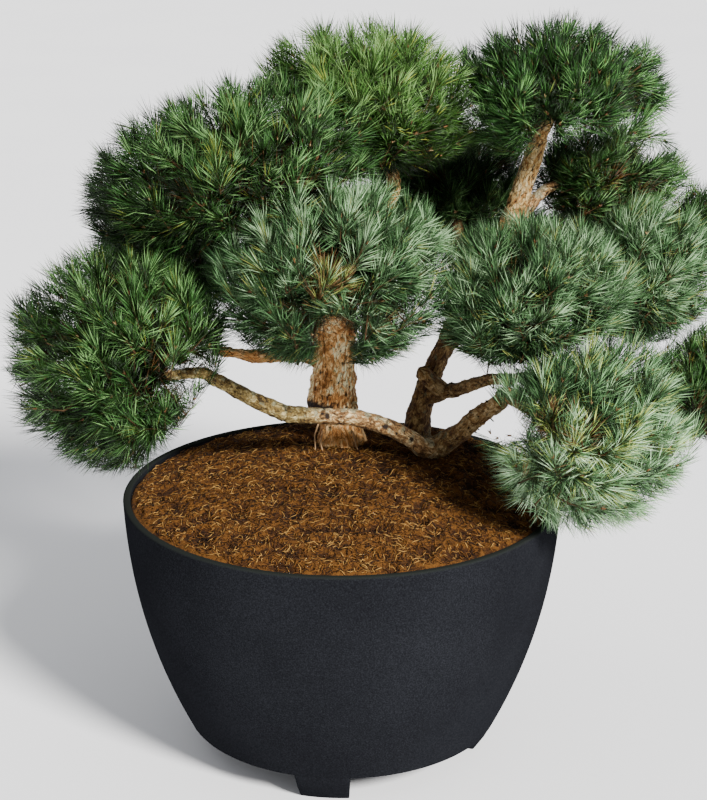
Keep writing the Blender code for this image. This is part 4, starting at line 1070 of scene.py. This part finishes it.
def grow_twigs(own, shoots, rng, finish, barks):
    """The stem runs on from the bough's tip to the hub, forks into boughlets, and each shoot leaves the
    nearest of them in a curve."""
    ends, axes, _ = shoots
    tip, way, radius = limb_end(own.feed)
    short = own.name.replace("pad_", "")
    kind = BARK_OF.get(own.feed, "bark_pale")
    bend = tip + way * 0.3 * np.linalg.norm(own.hub - tip)
    places = (tip - way * STEM_SINK, (tip + bend) / 2, (bend + own.hub) / 2, own.hub)
    stem = smooth_line([(*place, radius * share) for place, share in zip(places, STEM_TAPER)], LINE_STEPS)
    mesh = mesh_from(barked_limb(own.feed, stem, kind, 0.0), f"stem_{short}", [barks[kind]])
    finish_piece(f"stem_{short}", mesh, [])
    mains = own.out_to(spiral(max(round(own.area() * TWIG_FORKS_PER_AREA), 6), rng), 0.42)
    bend = (own.hub + mains) / 2 + rng.normal(0, 0.012, mains.shape)
    clear = own.whole(bend) & own.whole(mains) & own.whole(own.hub + (mains - own.hub) * 0.25)
    mains, bend = mains[clear], bend[clear]
    start = np.broadcast_to(own.hub, mains.shape)
    boughlets = np.stack([start, bend, mains, mains * 1.1 - own.hub * 0.1], axis=1)
    picks = ((mains[None] - ends[:, None]) ** 2).sum(axis=2).argmin(axis=1)
    nearest = mains[picks]
    boughlets = boughlets[np.unique(picks)]
    forks = own.hub + (nearest - own.hub) * rng.uniform(0.55, 1.0, len(ends))[:, None]
    twigs = np.stack([forks, ends - axes * SHOOT_LENGTH, ends], axis=1)
    clear = own.whole((twigs[:, 0] + twigs[:, 1]) / 2) & own.whole(twigs[:, 1]) & own.whole(ends)
    twigs = twigs[clear]
    grown = (("boughlets", boughlets, [0.55, 0.40, 0.28, 0.0], radius, 6),
             ("twigs", twigs, [1.4, 1.0, 0.0], 0.0026, 3))
    for kind, paths, taper, thickness, sides in grown:
        corners, pattern = strands(paths, np.broadcast_to(np.array(taper) * thickness, paths.shape[:2]), sides)
        mesh = joined(f"{kind}_{short}", corners, pattern, np.zeros(len(paths)), [finish], True)
        finish_piece(f"{kind}_{short}", mesh, [])


def grow_core(own, spaces, balls, finish):
    """The pad's dense middle of old needles and twigs, which lets no light through, coloured near-black as painted
    shade.
    """
    bm = bmesh.new()
    bmesh.ops.create_icosphere(bm, subdivisions=4, radius=1.0)
    directions = np.array([vertex.co for vertex in bm.verts])
    rough = np.array([noise.fractal(Vector(d) / 0.13, 1.0, 2.0, 3) for d in directions])
    shares = CORE_SHARE * AIRY.get(own.name, 1.0) * (1 + CORE_ROUGHNESS * rough)
    if own.name in THIN_SIDE:
        facing = np.clip((directions @ np.array(THIN_SIDE[own.name][0]) - 0.2) / 0.5, 0, 1)
        shares *= 1 - 0.5 * facing
    for _ in range(9):
        places = own.out_to(directions, shares)
        shares = np.where(free(places, own, spaces, balls) & own.whole(places), shares, shares * 0.8)
    for vertex, place in zip(bm.verts, own.out_to(directions, shares)):
        vertex.co = place
    short = own.name.replace("pad_", "")
    mesh = mesh_from(bm, f"old_needles_{short}", [finish])
    finish_piece(f"old_needles_{short}", mesh, [])


def make_foliage(barks):
    """Each pad's needles, buds, twigs and middle, by the same rule."""
    spaces = [Space(name) for name in PADS]
    balls = limb_balls()
    greens = {}
    for kind, colours in NEEDLE_TONES.items():
        greens[kind] = [living_skin(f"pine_needles_{kind}_{i}", colour, 1.35)
                        for i, (colour, _) in enumerate(colours)]
        # The old tone is near-black painted shade for the inner needles
        for name, colour in zip(("yellow", "old", "shed"), EXTRA_TONES[kind]):
            greens[kind].append(living_skin(f"pine_needles_{kind}_{name}", colour, 1.4))
    buds = [living_skin(f"pine_bud_{i}", colour, 1.3, 0.5)
            for i, colour in enumerate(("4c2f18", "6e4d2c", "8a7450"))]
    twig = living_skin("pine_twig_bark", "33220f", 1.7, 0.8, 0.2)
    # Painted shade: a near-black finish for each pad's middle
    core_shade_finish = living_skin("old_needle_mat", "060b04", 1.8, 1.0, 0.0)
    for own in spaces:
        rng = np.random.default_rng(SEED + sum(map(ord, own.name)))
        shoots = plant_shoots(own, spaces, balls, rng)
        leafy = grow_needles(own, shoots, spaces, balls, rng, greens)
        shoots = [column[leafy] for column in shoots]
        grow_buds(own, shoots, rng, buds)
        grow_twigs(own, shoots, rng, twig, barks)
        grow_core(own, spaces, balls, core_shade_finish)


def make_stage():
    """A plain pale floor, soft studio light and the camera."""
    bm = bmesh.new()
    bmesh.ops.create_grid(bm, x_segments=1, y_segments=1, size=40.0)
    floor_finish, shader, place = new_material("studio_floor", 0.7, 0.2)
    mottle = add(floor_finish, "ShaderNodeTexNoise", {"Scale": per_metre(1500), "Detail": 2.0}, Vector=place)
    colour = add(floor_finish, "ShaderNodeValToRGB", {"stops": [(0.3, "f0f0f2"), (0.7, "f4f4f5")]},
                 i0=mottle.outputs["Fac"])
    finish_shader(floor_finish, shader, colour.outputs["Color"])
    floor = bpy.data.objects.new("floor", mesh_from(bm, "floor", [floor_finish], False))
    bpy.context.scene.collection.objects.link(floor)
    world = bpy.data.worlds.new("studio")
    world.use_nodes = True
    world.node_tree.nodes["Background"].inputs["Color"].default_value = linear("f4f6fa")
    world.node_tree.nodes["Background"].inputs["Strength"].default_value = 0.80
    bpy.context.scene.world = world
    lamp = bpy.data.lights.new("softbox", "SUN")
    lamp.energy = 10.0
    lamp.angle = math.radians(12)
    lamp.color = (1.0, 0.985, 0.96)
    holder = bpy.data.objects.new("softbox", lamp)
    holder.rotation_euler = Vector((-2.5, 3.4, -2.8)).to_track_quat("-Z", "Y").to_euler()
    bpy.context.scene.collection.objects.link(holder)
    camera = bpy.data.cameras.new("camera")
    camera.sensor_width = 36.0
    camera.lens = 1991 * 36.0 / 800
    camera.clip_end = 100.0
    holder = bpy.data.objects.new("camera", camera)
    holder.location = Vector((0.033, -5.463, 2.896)) + POT_AXIS
    holder.rotation_euler = (math.radians(90 - 18.5), 0.0, 0.0)
    bpy.context.scene.collection.objects.link(holder)
    bpy.context.scene.camera = holder


make_stage()
make_pot()
make_soil()
make_fibres()
bark_finishes = make_limbs()
make_spurs_and_rootlets()
make_foliage(bark_finishes)
